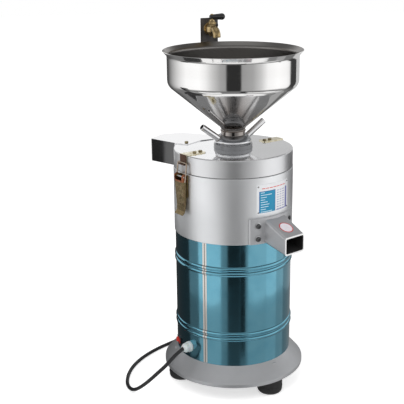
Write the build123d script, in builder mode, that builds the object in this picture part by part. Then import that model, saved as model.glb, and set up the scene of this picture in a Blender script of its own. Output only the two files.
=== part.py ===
"""Vertical soybean grinder: motor in a sheet drum, grinding housing with a latched lid, hopper with a water tap."""
import os
from math import cos, degrees, pi, radians, sin, sqrt, tan

from build123d import *

os.makedirs("parts", exist_ok=True)

# Driving dimensions, in millimetres. The floor is z = 0 and the front, with the slurry spout, is -Y.
fit = 0.05                  # radial clearance of shafts, pins and screws in their holes
soft_gap = 0.3              # room left round rubber and cord

# Stand
foot_r = 26.0
foot_circle_r = 114.0
foot_count = 3
foot_sunk = 4.0             # how far a foot reaches up inside the skirt
foot_edge_r = 9.0
foot_top_edge_r = 1.5
foot_boss_r = 13.0
foot_bolt_r = 4.0
foot_bolt_up = 20.0         # bolt's length inside the boss
foot_seat = 14.0            # bolt head's seat above the floor
foot_head_r = 6.5
foot_head_h = 5.5
foot_socket_r = 9.0
skirt_gap = 36.0            # height of the skirt's lower edge above the floor
base_r = 147.0
base_h = 37.0
base_wall = 4.5
base_lip_h = 8.0
base_shoulder_r = 140.0
base_shoulder_drop = 21.0   # below the deck
deck_t = 5.0
deck_w = 42.0               # ring of deck between its hole and the drum's outside
spigot_h = 7.0
spigot_t = 4.0

# Drum
drum_r = 120.0
drum_h = 260.0
drum_sheet = 1.0
bead_proud = 2.3
bead_w = 9.0
bead_pitch = 10.8
lower_beads_h = 63.5        # centre of each pair of beads above the drum's lower edge
upper_beads_h = 203.2

# Grinding housing
housing_over = 1.6          # housing's wall stands this far outside the drum's
housing_h = 133.5
housing_wall = 5.0
housing_floor = 10.0
housing_lip_t = 5.0
housing_lip_w = 12.5
seal_r = 20.0
seal_boss_r = 27.0
seal_boss_h = 9.0
housing_bolt_circle_r = 72.0
housing_bolt_r = 4.0

# Lid
gasket_t = 1.0
lid_step = 0.8              # lid's wall stands this far inside the housing's
lid_h = 35.5
lid_wall = 4.5
lid_top_t = 4.0
boss_r = 39.1
boss_h = 8.5
inner_boss_r = 36.0
inner_boss_h = 12.0

# Slurry spout
spout_angle = -90.0
flange_half_angle = 27.5
flange_t = 5.0
flange_h = 52.0
flange_lift = 1.0
neck_w = 55.0
neck_h = 49.0
mouth_reach = 179.5
mouth_w = 52.0
mouth_h = 36.5
mouth_drop = 12.0           # mouth's lower edge below the housing's lower edge
spout_wall = 3.0
spout_corner = 5.0
spout_screw_angle = 19.0
spout_screw_r = 3.0
spout_screw_low = 11.3      # above the housing's lower edge
spout_screw_high = 38.0

# Rating plate
plate_w = 85.0
plate_h = 60.0
plate_t = 0.8
plate_mid = 89.5            # above the housing's lower edge
plate_rivet_r = 1.6

# Motor
shaft_r = 10.0
seal_journal_r = 12.0
shaft_tail_r = 8.5
stator_r = 80.0
stator_bore_r = 42.0
stator_h = 100.0
stator_lift = 107.0         # stator's lower face above the deck
air_gap = 0.5
shield_ring_t = 8.0
shield_grip = 18.0
shield_t = 10.0
upper_bearing_r = 23.5
upper_bearing_h = 14.0
lower_bearing_r = 20.0
lower_bearing_h = 12.0
tie_bolt_r = 2.5
fan_room = 50.0             # between the fan's blades and the drum's outside
fan_lift = 22.0
fan_h = 26.0
fan_blades = 8
capacitor_r = 15.5
capacitor_h = 56.0
capacitor_room = 22.0       # between the capacitor's axis and the drum's outside
capacitor_angle = 0.0
clip_t = 1.0
clip_h = 20.0
clip_gap_w = 14.0

# Grinding parts
holder_r = 64.0
holder_t = 8.0
holder_lift = 42.0          # lower stone holder's underside above the housing floor
stone_r = 60.0
stone_h = 15.0
stone_gap = 0.3
stone_eye_r = 20.0
basket_room = 15.6          # between the basket's rim and the housing's wall
basket_foot_t = 3.0         # the basket's ring round the holder
basket_rise = 87.0
basket_t = 2.4
screen_t = 0.6
basket_windows = 12
carriage_disc_r = 62.0
carriage_tube_r = 28.0
carriage_bore_r = 20.0
carriage_tube_top = 12.5    # above the boss
neck_socket_h = 24.0

# Adjuster
ring_r = 37.0
ring_step_h = 1.0
ring_band_h = 7.5
ring_h = 17.5
ring_top_r = 26.5
ring_top_t = 2.5
handle_r = 6.5
handle_wall = 1.4
handle_slope = 36.5
handle_reach = 70.0
handle_root_h = 9.5         # handle axis above the boss where it meets the tube
handle_root_r = 30.0
handle_angle = 166.5

# Hopper
hopper_neck_r = 24.4
hopper_sheet = 1.2
hopper_band_r = 131.0
hopper_rim_r = 139.7
hopper_h = 198.0            # neck's lower end to the rim
hopper_neck_h = 43.0
hopper_band_h = 66.5        # virtual corner of cone and band, below the rim
rim_flare_h = 9.5
knuckle_r = 20.0

# Water tap
tap_angle = 69.2
bracket_w = 38.0
bracket_t = 2.0
bracket_up = 50.5           # above the rim
bracket_down = 40.0         # below the rim
bracket_foot_h = 15.0       # lower end, lying on the hopper's band
bracket_bend_h = 10.0       # height of the slope between that foot and the rim
bracket_bend_r = 3.0
tap_below_top = 22.0
tap_flange_r = 13.0
tap_flange_t = 3.0
tap_pipe_r = 8.0
tap_bore_r = 5.5
tap_reach = 46.0
tap_drop = 14.0
tap_valve_reach = 17.0
tap_bulb_r = 11.5
tap_thread_r = 10.5
tap_thread_l = 6.0          # threaded length beyond the bracket, under the nut
tap_end_r = 10.3            # hose end, past the nut
tap_end_l = 10.0
tap_nozzle_depth = 7.5
tap_neck_r = 6.5
tap_neck_h = 16.5
stem_r = 3.0
stem_foot_h = 6.0           # stem's seat above the tap's own axis
stem_collar_h = 2.5
lever_r = 4.6               # at its back end
lever_ball_r = 6.8
lever_len = 22.0            # stem to the ball's centre
lever_back = 5.0            # beyond the stem
lever_up = 25.0

# Latches
screw_r = 2.0               # small screws of the keepers and the chute
keeper_screw_at = (7.0, 21.0)
latch_angles = {"left": 175.5, "right": -4.5}
keeper_w = 22.0
keeper_t = 1.8
keeper_reach = 46.5
keeper_drop = 18.0
hook_play = 0.4            # room for the bail's crossbar in the hook
hook_h = 0.5
hook_rest = 0.6             # crossbar above the hook's floor, so that it clears the lip
wire_r = 1.4
bail_half_w = 14.8
latch_base_w = 31.0
latch_base_h = 46.0
latch_base_t = 2.0
pivot_out = 8.6             # latch pivot outside the housing wall
pivot_down = 4.5            # latch pivot below the housing's upper edge
pivot_r = 1.8
bail_arm = 10.0
over_centre = 1.0
latch_lever_w = 26.0
latch_lever_t = 1.4
latch_lever_len = 78.0
latch_lever_lean = 5.0      # lever's tail lies nearer to the housing than its pivot end
latch_ear_r = 3.5
latch_rivet_r = 1.85
latch_rivet_at = (-13.0, -35.0)
ear_t = 1.8

# Dregs chute
chute_sheet = 1.5
chute_drop = 46.0
chute_fit = 0.3
chute_open_from = 79.0
chute_open_to = 121.0

# Cord and switch
gland_angle = 180.0
gland_h = 24.6              # above the deck
gland_thread_r = 8.0
gland_collar_r = 11.0
gland_out = 19.0
cord_r = 3.75
switch_angle = 158.0
switch_h = 21.0
switch_w = 23.0
switch_tall = 16.0
coil_r = 42.0
coil_section = 15.0
coil_x = 128.0
coil_y = 158.0

# Radii and heights worked out from the sizes above
deck_hole_r = drum_r - deck_w
housing_r = drum_r + housing_over
lid_r = housing_r - lid_step
fan_r = drum_r - fan_room
capacitor_circle_r = drum_r - capacitor_room
basket_r = housing_r - housing_wall - basket_room
z_deck = skirt_gap + base_h
z_housing = z_deck + drum_h
z_floor = z_housing + housing_floor
z_housing_top = z_housing + housing_h
z_lid = z_housing_top + gasket_t
z_lid_top = z_lid + lid_h
z_boss = z_lid_top + boss_h
z_stator = z_deck + stator_lift
z_holder = z_floor + holder_lift
z_stone = z_holder + holder_t
z_upper_stone = z_stone + stone_h + stone_gap
z_carriage = z_upper_stone + stone_h
z_tube_top = z_boss + carriage_tube_top
z_hopper = z_tube_top - neck_socket_h
z_rim = z_hopper + hopper_h
z_tap = z_rim + bracket_up - tap_below_top
drum_in_r = drum_r - drum_sheet


def facing(angle, radius, height):
    """Plane that looks outward at an angle round the machine: local x runs round it, local y is up."""
    a = radians(angle)
    return Plane(origin=(radius * cos(a), radius * sin(a), height), x_dir=(-sin(a), cos(a), 0),
                 z_dir=(cos(a), sin(a), 0))


def section(angle):
    """Upright plane through the machine's axis: local x is the radius, local y is the height."""
    a = radians(angle)
    return Plane(origin=(0, 0, 0), x_dir=(cos(a), sin(a), 0), z_dir=(sin(a), -cos(a), 0))


def save(part, name):
    """Label a finished piece and write it under its own name."""
    part.label = name
    export_step(part, f"parts/{name}.step")


def wedge(start, end, r_in, r_out):
    """Four corners of a slice between two angles, to cut or keep a sector."""
    corners = [(r_in, start), (r_out, start), (r_out, end), (r_in, end)]
    return [(r * cos(radians(a)), r * sin(radians(a))) for r, a in corners]


# Base casting: a flared skirt with a flat deck, a spigot that centres the drum, and three foot bosses
foot_h = skirt_gap + foot_sunk
foot_start = -90.0
with BuildPart() as base_casting:
    z_lip = skirt_gap + base_lip_h
    z_shoulder = z_deck - base_shoulder_drop
    with BuildSketch(Plane.XZ):
        with BuildLine():
            Polyline((deck_hole_r, z_deck), (drum_r, z_deck), (base_shoulder_r, z_shoulder), (base_r, z_lip),
                     (base_r, skirt_gap), (base_r - base_wall, skirt_gap), (base_r - base_wall, z_lip - 1.0),
                     (base_shoulder_r - base_wall, z_shoulder - base_wall * 0.6),
                     (drum_r - base_wall * 0.5, z_deck - deck_t), (deck_hole_r, z_deck - deck_t), close=True)
        make_face()
    revolve(axis=Axis.Z)
    with BuildSketch(Plane.XY.offset(z_deck)):
        Circle(drum_in_r - fit)
        Circle(drum_in_r - fit - spigot_t, mode=Mode.SUBTRACT)
    extrude(amount=spigot_h)
    with BuildSketch(Plane.XY.offset(foot_h)):
        with PolarLocations(foot_circle_r, foot_count, start_angle=foot_start):
            Circle(foot_boss_r)
    extrude(amount=z_deck - deck_t - foot_h)
    with Locations(Plane.XY.offset(foot_h)):
        with PolarLocations(foot_circle_r, foot_count, start_angle=foot_start):
            Hole(foot_bolt_r + fit, depth=foot_bolt_up + 1.0)
    lip_edges = base_casting.edges().filter_by(GeomType.CIRCLE).group_by(Axis.Z)[0].sort_by(SortBy.RADIUS)
    fillet(lip_edges[-1], radius=2.0)
save(base_casting.part, "base_casting")

# Rubber feet: buffers with a rounded tread edge and a counterbore that hides the bolt head
with BuildPart() as rubber_feet:
    with BuildSketch(Plane.XY):
        with PolarLocations(foot_circle_r, foot_count, start_angle=foot_start):
            Circle(foot_r)
    extrude(amount=foot_h)
    fillet(rubber_feet.edges().filter_by(GeomType.CIRCLE).group_by(Axis.Z)[0], radius=foot_edge_r)
    fillet(rubber_feet.edges().filter_by(GeomType.CIRCLE).group_by(Axis.Z)[-1], radius=foot_top_edge_r)
    with Locations(Plane.XY):
        with PolarLocations(foot_circle_r, foot_count, start_angle=foot_start, rotate=False):
            with Locations(Location((0, 0, 0), (180, 0, 0))):
                CounterBoreHole(radius=foot_bolt_r + soft_gap, counter_bore_radius=foot_socket_r,
                                counter_bore_depth=foot_seat)
save(rubber_feet.part, "rubber_feet")

# Foot bolts: hexagon heads in the counterbores, shanks up into the base's bosses
with BuildPart() as foot_bolts:
    with BuildSketch(Plane.XY.offset(foot_seat)):
        with PolarLocations(foot_circle_r, foot_count, start_angle=foot_start):
            RegularPolygon(radius=foot_head_r, side_count=6, major_radius=False)
    extrude(amount=-foot_head_h)
    with BuildSketch(Plane.XY.offset(foot_seat)):
        with PolarLocations(foot_circle_r, foot_count, start_angle=foot_start):
            Circle(foot_bolt_r)
    extrude(amount=foot_h - foot_seat + foot_bolt_up)
save(foot_bolts.part, "foot_bolts")

# Drum shell: rolled sheet with two pairs of beads, a gland hole and a switch cut-out
bead_r = (bead_w ** 2 / 4 + bead_proud ** 2) / (2 * bead_proud)
bead_heights = [z_deck + pair + step * bead_pitch / 2 for pair in (lower_beads_h, upper_beads_h) for step in (-1, 1)]
z_gland = z_deck + gland_h
z_switch = z_deck + switch_h
with BuildPart() as drum_shell:
    for skin, shrink, mode in ((drum_r, 0, Mode.ADD), (drum_in_r, drum_sheet, Mode.SUBTRACT)):
        with BuildSketch(Plane.XY.offset(z_deck)):
            Circle(skin)
        extrude(amount=drum_h, mode=mode)
        with BuildSketch(Plane.XZ):
            with Locations(*[(drum_r + bead_proud - bead_r, z) for z in bead_heights]):
                Circle(bead_r - shrink)
        revolve(axis=Axis.Z, mode=mode)
    with BuildSketch(facing(gland_angle, drum_r - 10, z_gland)):
        Circle(gland_thread_r + fit)
    extrude(amount=20, mode=Mode.SUBTRACT)
    with BuildSketch(facing(switch_angle, drum_r - 10, z_switch)):
        Rectangle(switch_w - 4.0, switch_tall - 3.0)
    extrude(amount=20, mode=Mode.SUBTRACT)
save(drum_shell.part, "drum_shell")

# Upper end shield: a cast disc that closes the drum, with a bearing hub and a ring that grips the stator
z_stator_top = z_stator + stator_h
z_shield = z_housing - shield_t
hub_drop = 20.0
with BuildPart() as upper_end_shield:
    with BuildSketch(Plane.XY.offset(z_shield)):
        Circle(drum_in_r - fit)
    extrude(amount=shield_t)
    with BuildSketch(Plane.XY.offset(z_stator_top - shield_grip)):
        Circle(stator_r + shield_ring_t)
        Circle(stator_r - 3.0, mode=Mode.SUBTRACT)
    extrude(amount=z_shield - z_stator_top + shield_grip)
    with BuildSketch(Plane.XY.offset(z_stator_top - shield_grip)):
        Circle(stator_r + fit)
    extrude(amount=shield_grip, mode=Mode.SUBTRACT)
    with BuildSketch(Plane.XY.offset(z_shield - hub_drop)):
        Circle(upper_bearing_r + 9.0)
    extrude(amount=hub_drop)
    with BuildSketch(Plane.XY.offset(z_shield - hub_drop)):
        Circle(upper_bearing_r + fit)
    extrude(amount=upper_bearing_h, mode=Mode.SUBTRACT)
    with BuildSketch(Plane.XY.offset(z_shield - hub_drop)):
        Circle(seal_journal_r + 2.0)
    extrude(amount=hub_drop + shield_t, mode=Mode.SUBTRACT)
    with Locations(Plane.XY.offset(z_housing)):
        with PolarLocations(housing_bolt_circle_r, 4, start_angle=45):
            Hole(housing_bolt_r + fit, depth=shield_t)
    with Locations(Plane(origin=(0, 0, z_stator_top - shield_grip), z_dir=(0, 0, -1))):
        with PolarLocations(stator_r + shield_ring_t / 2, 4):
            Hole(tie_bolt_r + fit, depth=24.0)
save(upper_end_shield.part, "upper_end_shield")

# Lower end shield: a cast cup that grips the stator's lower end and holds the tail bearing
cup_h = 44.0
cup_t = 8.0
tail_seat = 6.0             # lower bearing's seat above the cup's underside
z_cup = z_stator - cup_h
with BuildPart() as lower_end_shield:
    with BuildSketch(Plane.XY.offset(z_cup)):
        Circle(stator_r + shield_ring_t)
    extrude(amount=z_stator + shield_grip - z_cup)
    with BuildSketch(Plane.XY.offset(z_cup + cup_t)):
        Circle(stator_r - 3.0)
    extrude(amount=z_stator - z_cup, mode=Mode.SUBTRACT)
    with BuildSketch(Plane.XY.offset(z_stator)):
        Circle(stator_r + fit)
    extrude(amount=shield_grip, mode=Mode.SUBTRACT)
    with BuildSketch(Plane.XY.offset(z_cup + cup_t)):
        Circle(lower_bearing_r + cup_t - 1.0)
    extrude(amount=lower_bearing_h - 2.0)
    with BuildSketch(Plane.XY.offset(z_cup + tail_seat)):
        Circle(lower_bearing_r + fit)
    extrude(amount=lower_bearing_h, mode=Mode.SUBTRACT)
    with Locations(Plane.XY.offset(z_cup + cup_t)):
        Hole(shaft_tail_r + 2.0, depth=cup_t)
    with Locations(Plane.XY.offset(z_stator + shield_grip)):
        with PolarLocations(stator_r + shield_ring_t / 2, 4):
            Hole(tie_bolt_r + fit)
save(lower_end_shield.part, "lower_end_shield")

# Motor tie bolts: four studs that pull the two end shields together over the stator
with BuildPart() as motor_tie_bolts:
    with BuildSketch(Plane.XY.offset(z_cup)):
        with PolarLocations(stator_r + shield_ring_t / 2, 4):
            Circle(4.4)
    extrude(amount=-3.5)
    with BuildSketch(Plane.XY.offset(z_cup)):
        with PolarLocations(stator_r + shield_ring_t / 2, 4):
            Circle(tie_bolt_r)
    extrude(amount=z_stator_top - shield_grip + 20.0 - z_cup)
save(motor_tie_bolts.part, "motor_tie_bolts")

# Stator core: the laminated ring
with BuildPart() as stator_core:
    with BuildSketch(Plane.XY.offset(z_stator)):
        Circle(stator_r)
        Circle(stator_bore_r, mode=Mode.SUBTRACT)
    extrude(amount=stator_h)
save(stator_core.part, "stator_core")

# Stator windings: the two bundles of end turns
winding_h = 22.0
with BuildPart() as stator_windings:
    for z_low in (z_stator - winding_h, z_stator_top):
        with BuildSketch(Plane.XY.offset(z_low)):
            Circle(stator_r - 10.0)
            Circle(stator_bore_r + 5.0, mode=Mode.SUBTRACT)
        extrude(amount=winding_h)
    fillet(stator_windings.edges().group_by(Axis.Z)[0] + stator_windings.edges().group_by(Axis.Z)[-1], radius=7.0)
save(stator_windings.part, "stator_windings")

# Rotor core on its shaft: the shaft runs from the fan to the nut above the lower stone
z_shaft_foot = z_deck + fan_lift - 4.0
z_hub_low = z_shield - hub_drop
nut_h = 9.0
with BuildPart() as motor_shaft:
    with BuildSketch(Plane.XZ):
        with BuildLine():
            Polyline((0, z_shaft_foot), (shaft_tail_r, z_shaft_foot), (shaft_tail_r, z_cup + tail_seat + lower_bearing_h),
                     (shaft_r + 2.0, z_cup + tail_seat + lower_bearing_h), (shaft_r + 2.0, z_hub_low), (shaft_r, z_hub_low),
                     (shaft_r, z_hub_low + upper_bearing_h), (seal_journal_r, z_hub_low + upper_bearing_h),
                     (seal_journal_r, z_floor + 12.0), (shaft_r, z_floor + 12.0), (shaft_r, z_stone + nut_h + 2.0),
                     (0, z_stone + nut_h + 2.0), close=True)
        make_face()
    revolve(axis=Axis.Z)
    chamfer(motor_shaft.edges().group_by(Axis.Z)[-1], length=1.0)
save(motor_shaft.part, "motor_shaft")

with BuildPart() as rotor_core:
    with BuildSketch(Plane.XY.offset(z_stator)):
        Circle(stator_bore_r - air_gap)
        Circle(shaft_r + 2.0, mode=Mode.SUBTRACT)
    extrude(amount=stator_h)
save(rotor_core.part, "rotor_core")

# Bearings: one in the upper shield's hub, one in the lower shield's cup
with BuildPart() as bearings:
    with BuildSketch(Plane.XY.offset(z_hub_low)):
        Circle(upper_bearing_r)
        Circle(shaft_r + fit, mode=Mode.SUBTRACT)
    extrude(amount=upper_bearing_h)
    with BuildSketch(Plane.XY.offset(z_cup + tail_seat)):
        Circle(lower_bearing_r)
        Circle(shaft_tail_r + fit, mode=Mode.SUBTRACT)
    extrude(amount=lower_bearing_h)
save(bearings.part, "bearings")

# Cooling fan on the shaft's tail: a hub, a back plate and straight blades
with BuildPart() as cooling_fan:
    z_fan = z_deck + fan_lift
    with BuildSketch(Plane.XY.offset(z_fan + fan_h - 2.5)):
        Circle(fan_r)
    extrude(amount=2.5)
    with BuildSketch(Plane.XY.offset(z_fan)):
        Circle(shaft_tail_r + 6.0)
    extrude(amount=fan_h)
    with BuildSketch(Plane.XY.offset(z_fan + 4.0)):
        with PolarLocations((fan_r + shaft_tail_r + 5.0) / 2, fan_blades):
            Rectangle(fan_r - shaft_tail_r - 5.0, 2.2)
    extrude(amount=fan_h - 5.0)
    with BuildSketch(Plane.XY.offset(z_fan)):
        Circle(shaft_tail_r + fit)
    extrude(amount=fan_h, mode=Mode.SUBTRACT)
save(cooling_fan.part, "cooling_fan")

# Run capacitor standing on the deck in its sheet clip
capacitor_spot = (capacitor_circle_r * cos(radians(capacitor_angle)), capacitor_circle_r * sin(radians(capacitor_angle)))
with BuildPart() as run_capacitor:
    with BuildSketch(Plane.XY.offset(z_deck + clip_t)):
        with Locations(capacitor_spot):
            Circle(capacitor_r)
    extrude(amount=capacitor_h)
    fillet(run_capacitor.edges().group_by(Axis.Z)[-1], radius=2.0)
save(run_capacitor.part, "run_capacitor")

with BuildPart() as capacitor_clip:
    with BuildSketch(Plane.XY.offset(z_deck)):
        with Locations(capacitor_spot):
            Circle(capacitor_r + clip_t)
    extrude(amount=clip_t)
    with BuildSketch(Plane.XY.offset(z_deck)):
        with Locations(capacitor_spot):
            Circle(capacitor_r + clip_t)
            Circle(capacitor_r + fit, mode=Mode.SUBTRACT)
            with Locations((0, capacitor_r)):
                Rectangle(clip_gap_w, clip_gap_w, mode=Mode.SUBTRACT)
    extrude(amount=clip_h)
save(capacitor_clip.part, "capacitor_clip")

# Grinding housing: a cast bowl with a seal boss, a top lip and a slurry opening at the front
z_lip_low = z_housing_top - housing_lip_t
lip_r = housing_r - housing_wall - housing_lip_w
with BuildPart() as grinding_housing:
    with BuildSketch(Plane.XZ):
        with BuildLine():
            Polyline((seal_journal_r + 1.5, z_housing), (housing_r, z_housing), (housing_r, z_housing_top),
                     (lip_r, z_housing_top), (lip_r, z_lip_low), (housing_r - housing_wall, z_lip_low - 8.0),
                     (housing_r - housing_wall, z_floor + 3.0), (housing_r - housing_wall - 3.0, z_floor),
                     (seal_boss_r, z_floor), (seal_boss_r, z_floor + seal_boss_h), (seal_r + fit, z_floor + seal_boss_h),
                     (seal_r + fit, z_floor + 1.0), (seal_journal_r + 1.5, z_floor + 1.0), close=True)
        make_face()
    revolve(axis=Axis.Z)
    outer_rims = grinding_housing.edges().filter_by(GeomType.CIRCLE).filter_by(lambda e: abs(e.radius - housing_r) < 0.01)
    fillet(outer_rims, radius=1.0)
    with BuildSketch(facing(spout_angle, housing_r - housing_wall - 10.0, z_floor)):
        with Locations((0, (neck_h - spout_wall - housing_floor) / 2)):
            RectangleRounded(neck_w - 2 * spout_wall - 2.0, neck_h - spout_wall - housing_floor, 4.0)
    extrude(amount=housing_wall + 20.0, mode=Mode.SUBTRACT)
    with Locations(Plane.XY.offset(z_floor)):
        with PolarLocations(housing_bolt_circle_r, 4, start_angle=45):
            Hole(housing_bolt_r + fit, depth=housing_floor)
    for turn in (-spout_screw_angle, spout_screw_angle):
        for rise in (spout_screw_low, spout_screw_high):
            with Locations(facing(spout_angle + turn, housing_r + 1.0, z_housing + rise)):
                Hole(spout_screw_r + fit, depth=housing_wall + 2.0)
save(grinding_housing.part, "grinding_housing")

with BuildPart() as housing_bolts:
    with BuildSketch(Plane.XY.offset(z_floor)):
        with PolarLocations(housing_bolt_circle_r, 4, start_angle=45):
            RegularPolygon(radius=6.5, side_count=6, major_radius=False)
    extrude(amount=5.0)
    with BuildSketch(Plane.XY.offset(z_floor)):
        with PolarLocations(housing_bolt_circle_r, 4, start_angle=45):
            Circle(housing_bolt_r)
    extrude(amount=-(housing_floor + shield_t - 1.0))
save(housing_bolts.part, "housing_bolts")

with BuildPart() as shaft_seal:
    with BuildSketch(Plane.XY.offset(z_floor + 1.0)):
        Circle(seal_r)
        Circle(seal_journal_r + fit, mode=Mode.SUBTRACT)
    extrude(amount=seal_boss_h - 1.5)
save(shaft_seal.part, "shaft_seal")

# Slurry spout: a curved flange on the housing and a box neck that tapers and slopes down to a rounded mouth
z_flange = z_housing + flange_lift
z_mouth = z_housing - mouth_drop
mouth_mid = z_mouth + mouth_h / 2
neck_mid = z_housing + 1.5 + neck_h / 2
root_reach = housing_r - 8.0


def spout_sections(thinner, start, end):
    """Two rounded rectangles along the spout's line, less the wall, at the given distances from the axis."""
    slope_w = (mouth_w - neck_w) / (mouth_reach - housing_r)
    slope_h = (mouth_h - neck_h) / (mouth_reach - housing_r)
    slope_z = (mouth_mid - neck_mid) / (mouth_reach - housing_r)
    sections = []
    for reach in (start, end):
        step = reach - housing_r
        with BuildSketch(facing(spout_angle, reach, neck_mid + slope_z * step)) as outline:
            RectangleRounded(neck_w + slope_w * step - 2 * thinner, neck_h + slope_h * step - 2 * thinner,
                             spout_corner - thinner * 0.7)
        sections.append(outline.sketch)
    return sections


with BuildPart() as slurry_spout:
    with BuildSketch(Plane.XY.offset(z_flange)):
        Circle(housing_r + flange_t)
        with BuildLine():
            Polyline(*wedge(spout_angle - flange_half_angle, spout_angle + flange_half_angle, 10, 200), close=True)
        make_face(mode=Mode.INTERSECT)
    extrude(amount=flange_h)
    side_edges = slurry_spout.edges().filter_by(Axis.Z).filter_by(
        lambda e: abs(sqrt(e.center().X ** 2 + e.center().Y ** 2) - housing_r - flange_t) < 0.1)
    chamfer(side_edges, length=3.0)
    loft(sections=spout_sections(0, root_reach, mouth_reach))
    with BuildSketch(Plane.XY.offset(z_mouth - spout_wall)):
        Circle(housing_r + fit)
    extrude(amount=flange_h + mouth_h, mode=Mode.SUBTRACT)
    loft(sections=spout_sections(spout_wall, root_reach - 4.0, mouth_reach + 4.0), mode=Mode.SUBTRACT)
    for turn in (-spout_screw_angle, spout_screw_angle):
        for rise in (spout_screw_low, spout_screw_high):
            with Locations(facing(spout_angle + turn, housing_r + flange_t + 1.0, z_housing + rise)):
                Hole(spout_screw_r + fit, depth=flange_t + 3.0)
save(slurry_spout.part, "slurry_spout")

with BuildPart() as spout_screws:
    for turn in (-spout_screw_angle, spout_screw_angle):
        for rise in (spout_screw_low, spout_screw_high):
            seat = facing(spout_angle + turn, housing_r + flange_t, z_housing + rise)
            with BuildSketch(seat):
                Circle(spout_screw_r * 1.75)
            extrude(amount=3.2)
            with BuildSketch(seat.offset(3.2)):
                RegularPolygon(radius=2.0, side_count=6, major_radius=False)
            extrude(amount=-1.8, mode=Mode.SUBTRACT)
            with BuildSketch(seat):
                Circle(spout_screw_r)
            extrude(amount=-(flange_t + housing_wall - 0.5))
    head_rims = spout_screws.edges().filter_by(GeomType.CIRCLE).filter_by(
        lambda e: abs(e.radius - spout_screw_r * 1.75) < 0.01)
    outer_heads = [e for e in head_rims if sqrt(e.arc_center.X ** 2 + e.arc_center.Y ** 2) > housing_r + flange_t + 1.5]
    fillet(outer_heads, radius=1.2)
save(spout_screws.part, "spout_screws")

# Rating plate: thin sheet curved round the housing, held by a rivet near each corner
plate_r = housing_r + fit
z_plate = z_housing + plate_mid
with BuildPart() as rating_plate:
    with BuildSketch(facing(spout_angle, housing_r - 30.0, z_plate)):
        RectangleRounded(2 * housing_r * sin(plate_w / 2 / housing_r), plate_h, 2.5)
    extrude(amount=50.0)
    with BuildSketch(Plane.XY.offset(z_plate - plate_h)):
        Circle(plate_r + plate_t)
        Circle(plate_r, mode=Mode.SUBTRACT)
    extrude(amount=2 * plate_h, mode=Mode.INTERSECT)
save(rating_plate.part, "rating_plate")

with BuildPart() as plate_rivets:
    rivet_turn = degrees((plate_w / 2 - 4.0) / housing_r)
    for turn in (-rivet_turn, rivet_turn):
        for rise in (-plate_h / 2 + 4.0, plate_h / 2 - 4.0):
            with BuildSketch(facing(spout_angle + turn, plate_r + plate_t, z_plate + rise)):
                Circle(plate_rivet_r)
            extrude(amount=0.9, taper=25)
save(plate_rivets.part, "plate_rivets")

# Lid gasket: a flat ring between the housing and the lid
with BuildPart() as lid_gasket:
    with BuildSketch(Plane.XY.offset(z_housing_top)):
        Circle(lid_r - 1.5)
        Circle(lid_r - 8.0, mode=Mode.SUBTRACT)
    extrude(amount=gasket_t)
save(lid_gasket.part, "lid_gasket")

# Lid: a cast cap with a boss for the adjuster and a side opening for the dregs
chute_screws_at = [(-50.6, 88.0)]
with BuildPart() as lid:
    with BuildSketch(Plane.XZ):
        with BuildLine():
            Polyline((carriage_tube_r + fit, z_lid_top - inner_boss_h - lid_top_t),
                     (inner_boss_r, z_lid_top - inner_boss_h - lid_top_t), (inner_boss_r, z_lid_top - lid_top_t),
                     (lid_r - lid_wall, z_lid_top - lid_top_t), (lid_r - lid_wall, z_lid), (lid_r, z_lid),
                     (lid_r, z_lid_top), (boss_r, z_lid_top), (boss_r, z_boss), (carriage_tube_r + fit, z_boss),
                     close=True)
        make_face()
    revolve(axis=Axis.Z)
    top_rim = lid.edges().filter_by(GeomType.CIRCLE).group_by(SortBy.RADIUS)[-1].sort_by(Axis.Z)[-1]
    fillet(top_rim, radius=2.5)
    boss_rim = lid.edges().filter_by(GeomType.CIRCLE).filter_by(
        lambda e: abs(e.radius - boss_r) < 0.01).sort_by(Axis.Z)[-1]
    fillet(boss_rim, radius=1.5)
    with BuildSketch(Plane.XY.offset(z_lid + 2.5)):
        with BuildLine():
            Polyline(*wedge(chute_open_from, chute_open_to, lid_r - lid_wall - 8.0, lid_r + 20.0), close=True)
        make_face()
    extrude(amount=lid_h - lid_top_t - 5.0, mode=Mode.SUBTRACT)
    with BuildSketch(facing(45, boss_r + 1.0, z_lid_top + boss_h / 2)):
        Circle(2.5 + fit)
    extrude(amount=-(boss_r - carriage_tube_r + 3.0), mode=Mode.SUBTRACT)
    for angle in latch_angles.values():
        for reach in [lid_r - keeper_reach + step for step in keeper_screw_at]:
            with Locations(Location((reach * cos(radians(angle)), reach * sin(radians(angle)), z_lid_top))):
                Hole(screw_r + fit, depth=lid_top_t)
    with Locations(*[Location((x, y, z_lid_top)) for x, y in chute_screws_at]):
        Hole(screw_r + fit, depth=lid_top_t)
save(lid.part, "lid")

# Guide pin: stops the stone carriage from turning with the adjuster
with BuildPart() as guide_pin:
    with BuildSketch(facing(45, boss_r, z_lid_top + boss_h / 2)):
        Circle(2.5)
    extrude(amount=-(boss_r - carriage_tube_r + 2.5))
save(guide_pin.part, "guide_pin")

# Dregs chute: a sheet hood over the lid's side opening, open below, with a top plate that laps over the lid
chute_corner = (-61.3, 73.1)
chute_tip = (-82.6, 168.4)
chute_outline = [chute_corner, (-71.0, 100.5), chute_tip, (-40.0, 186.0), (3.0, 169.0), (29.0, 116.0), (16.6, 76.1),
                 (-18.1, 83.5)]
chute_radii = [3.0, 60.0, 3.0, 22.0, 38.0, 4.0, 4.0, 20.0]


def chute_plan(inset):
    """The hood's plan at its lower edge, a polygon with its own radius at each corner."""
    with BuildSketch(Plane.XY.offset(z_lid_top - chute_drop)) as plan:
        with BuildLine():
            FilletPolyline(*chute_outline, radius=chute_radii[:], close=True)
        make_face()
        if inset:
            offset(amount=-inset, mode=Mode.REPLACE)
    return plan.sketch


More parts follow.
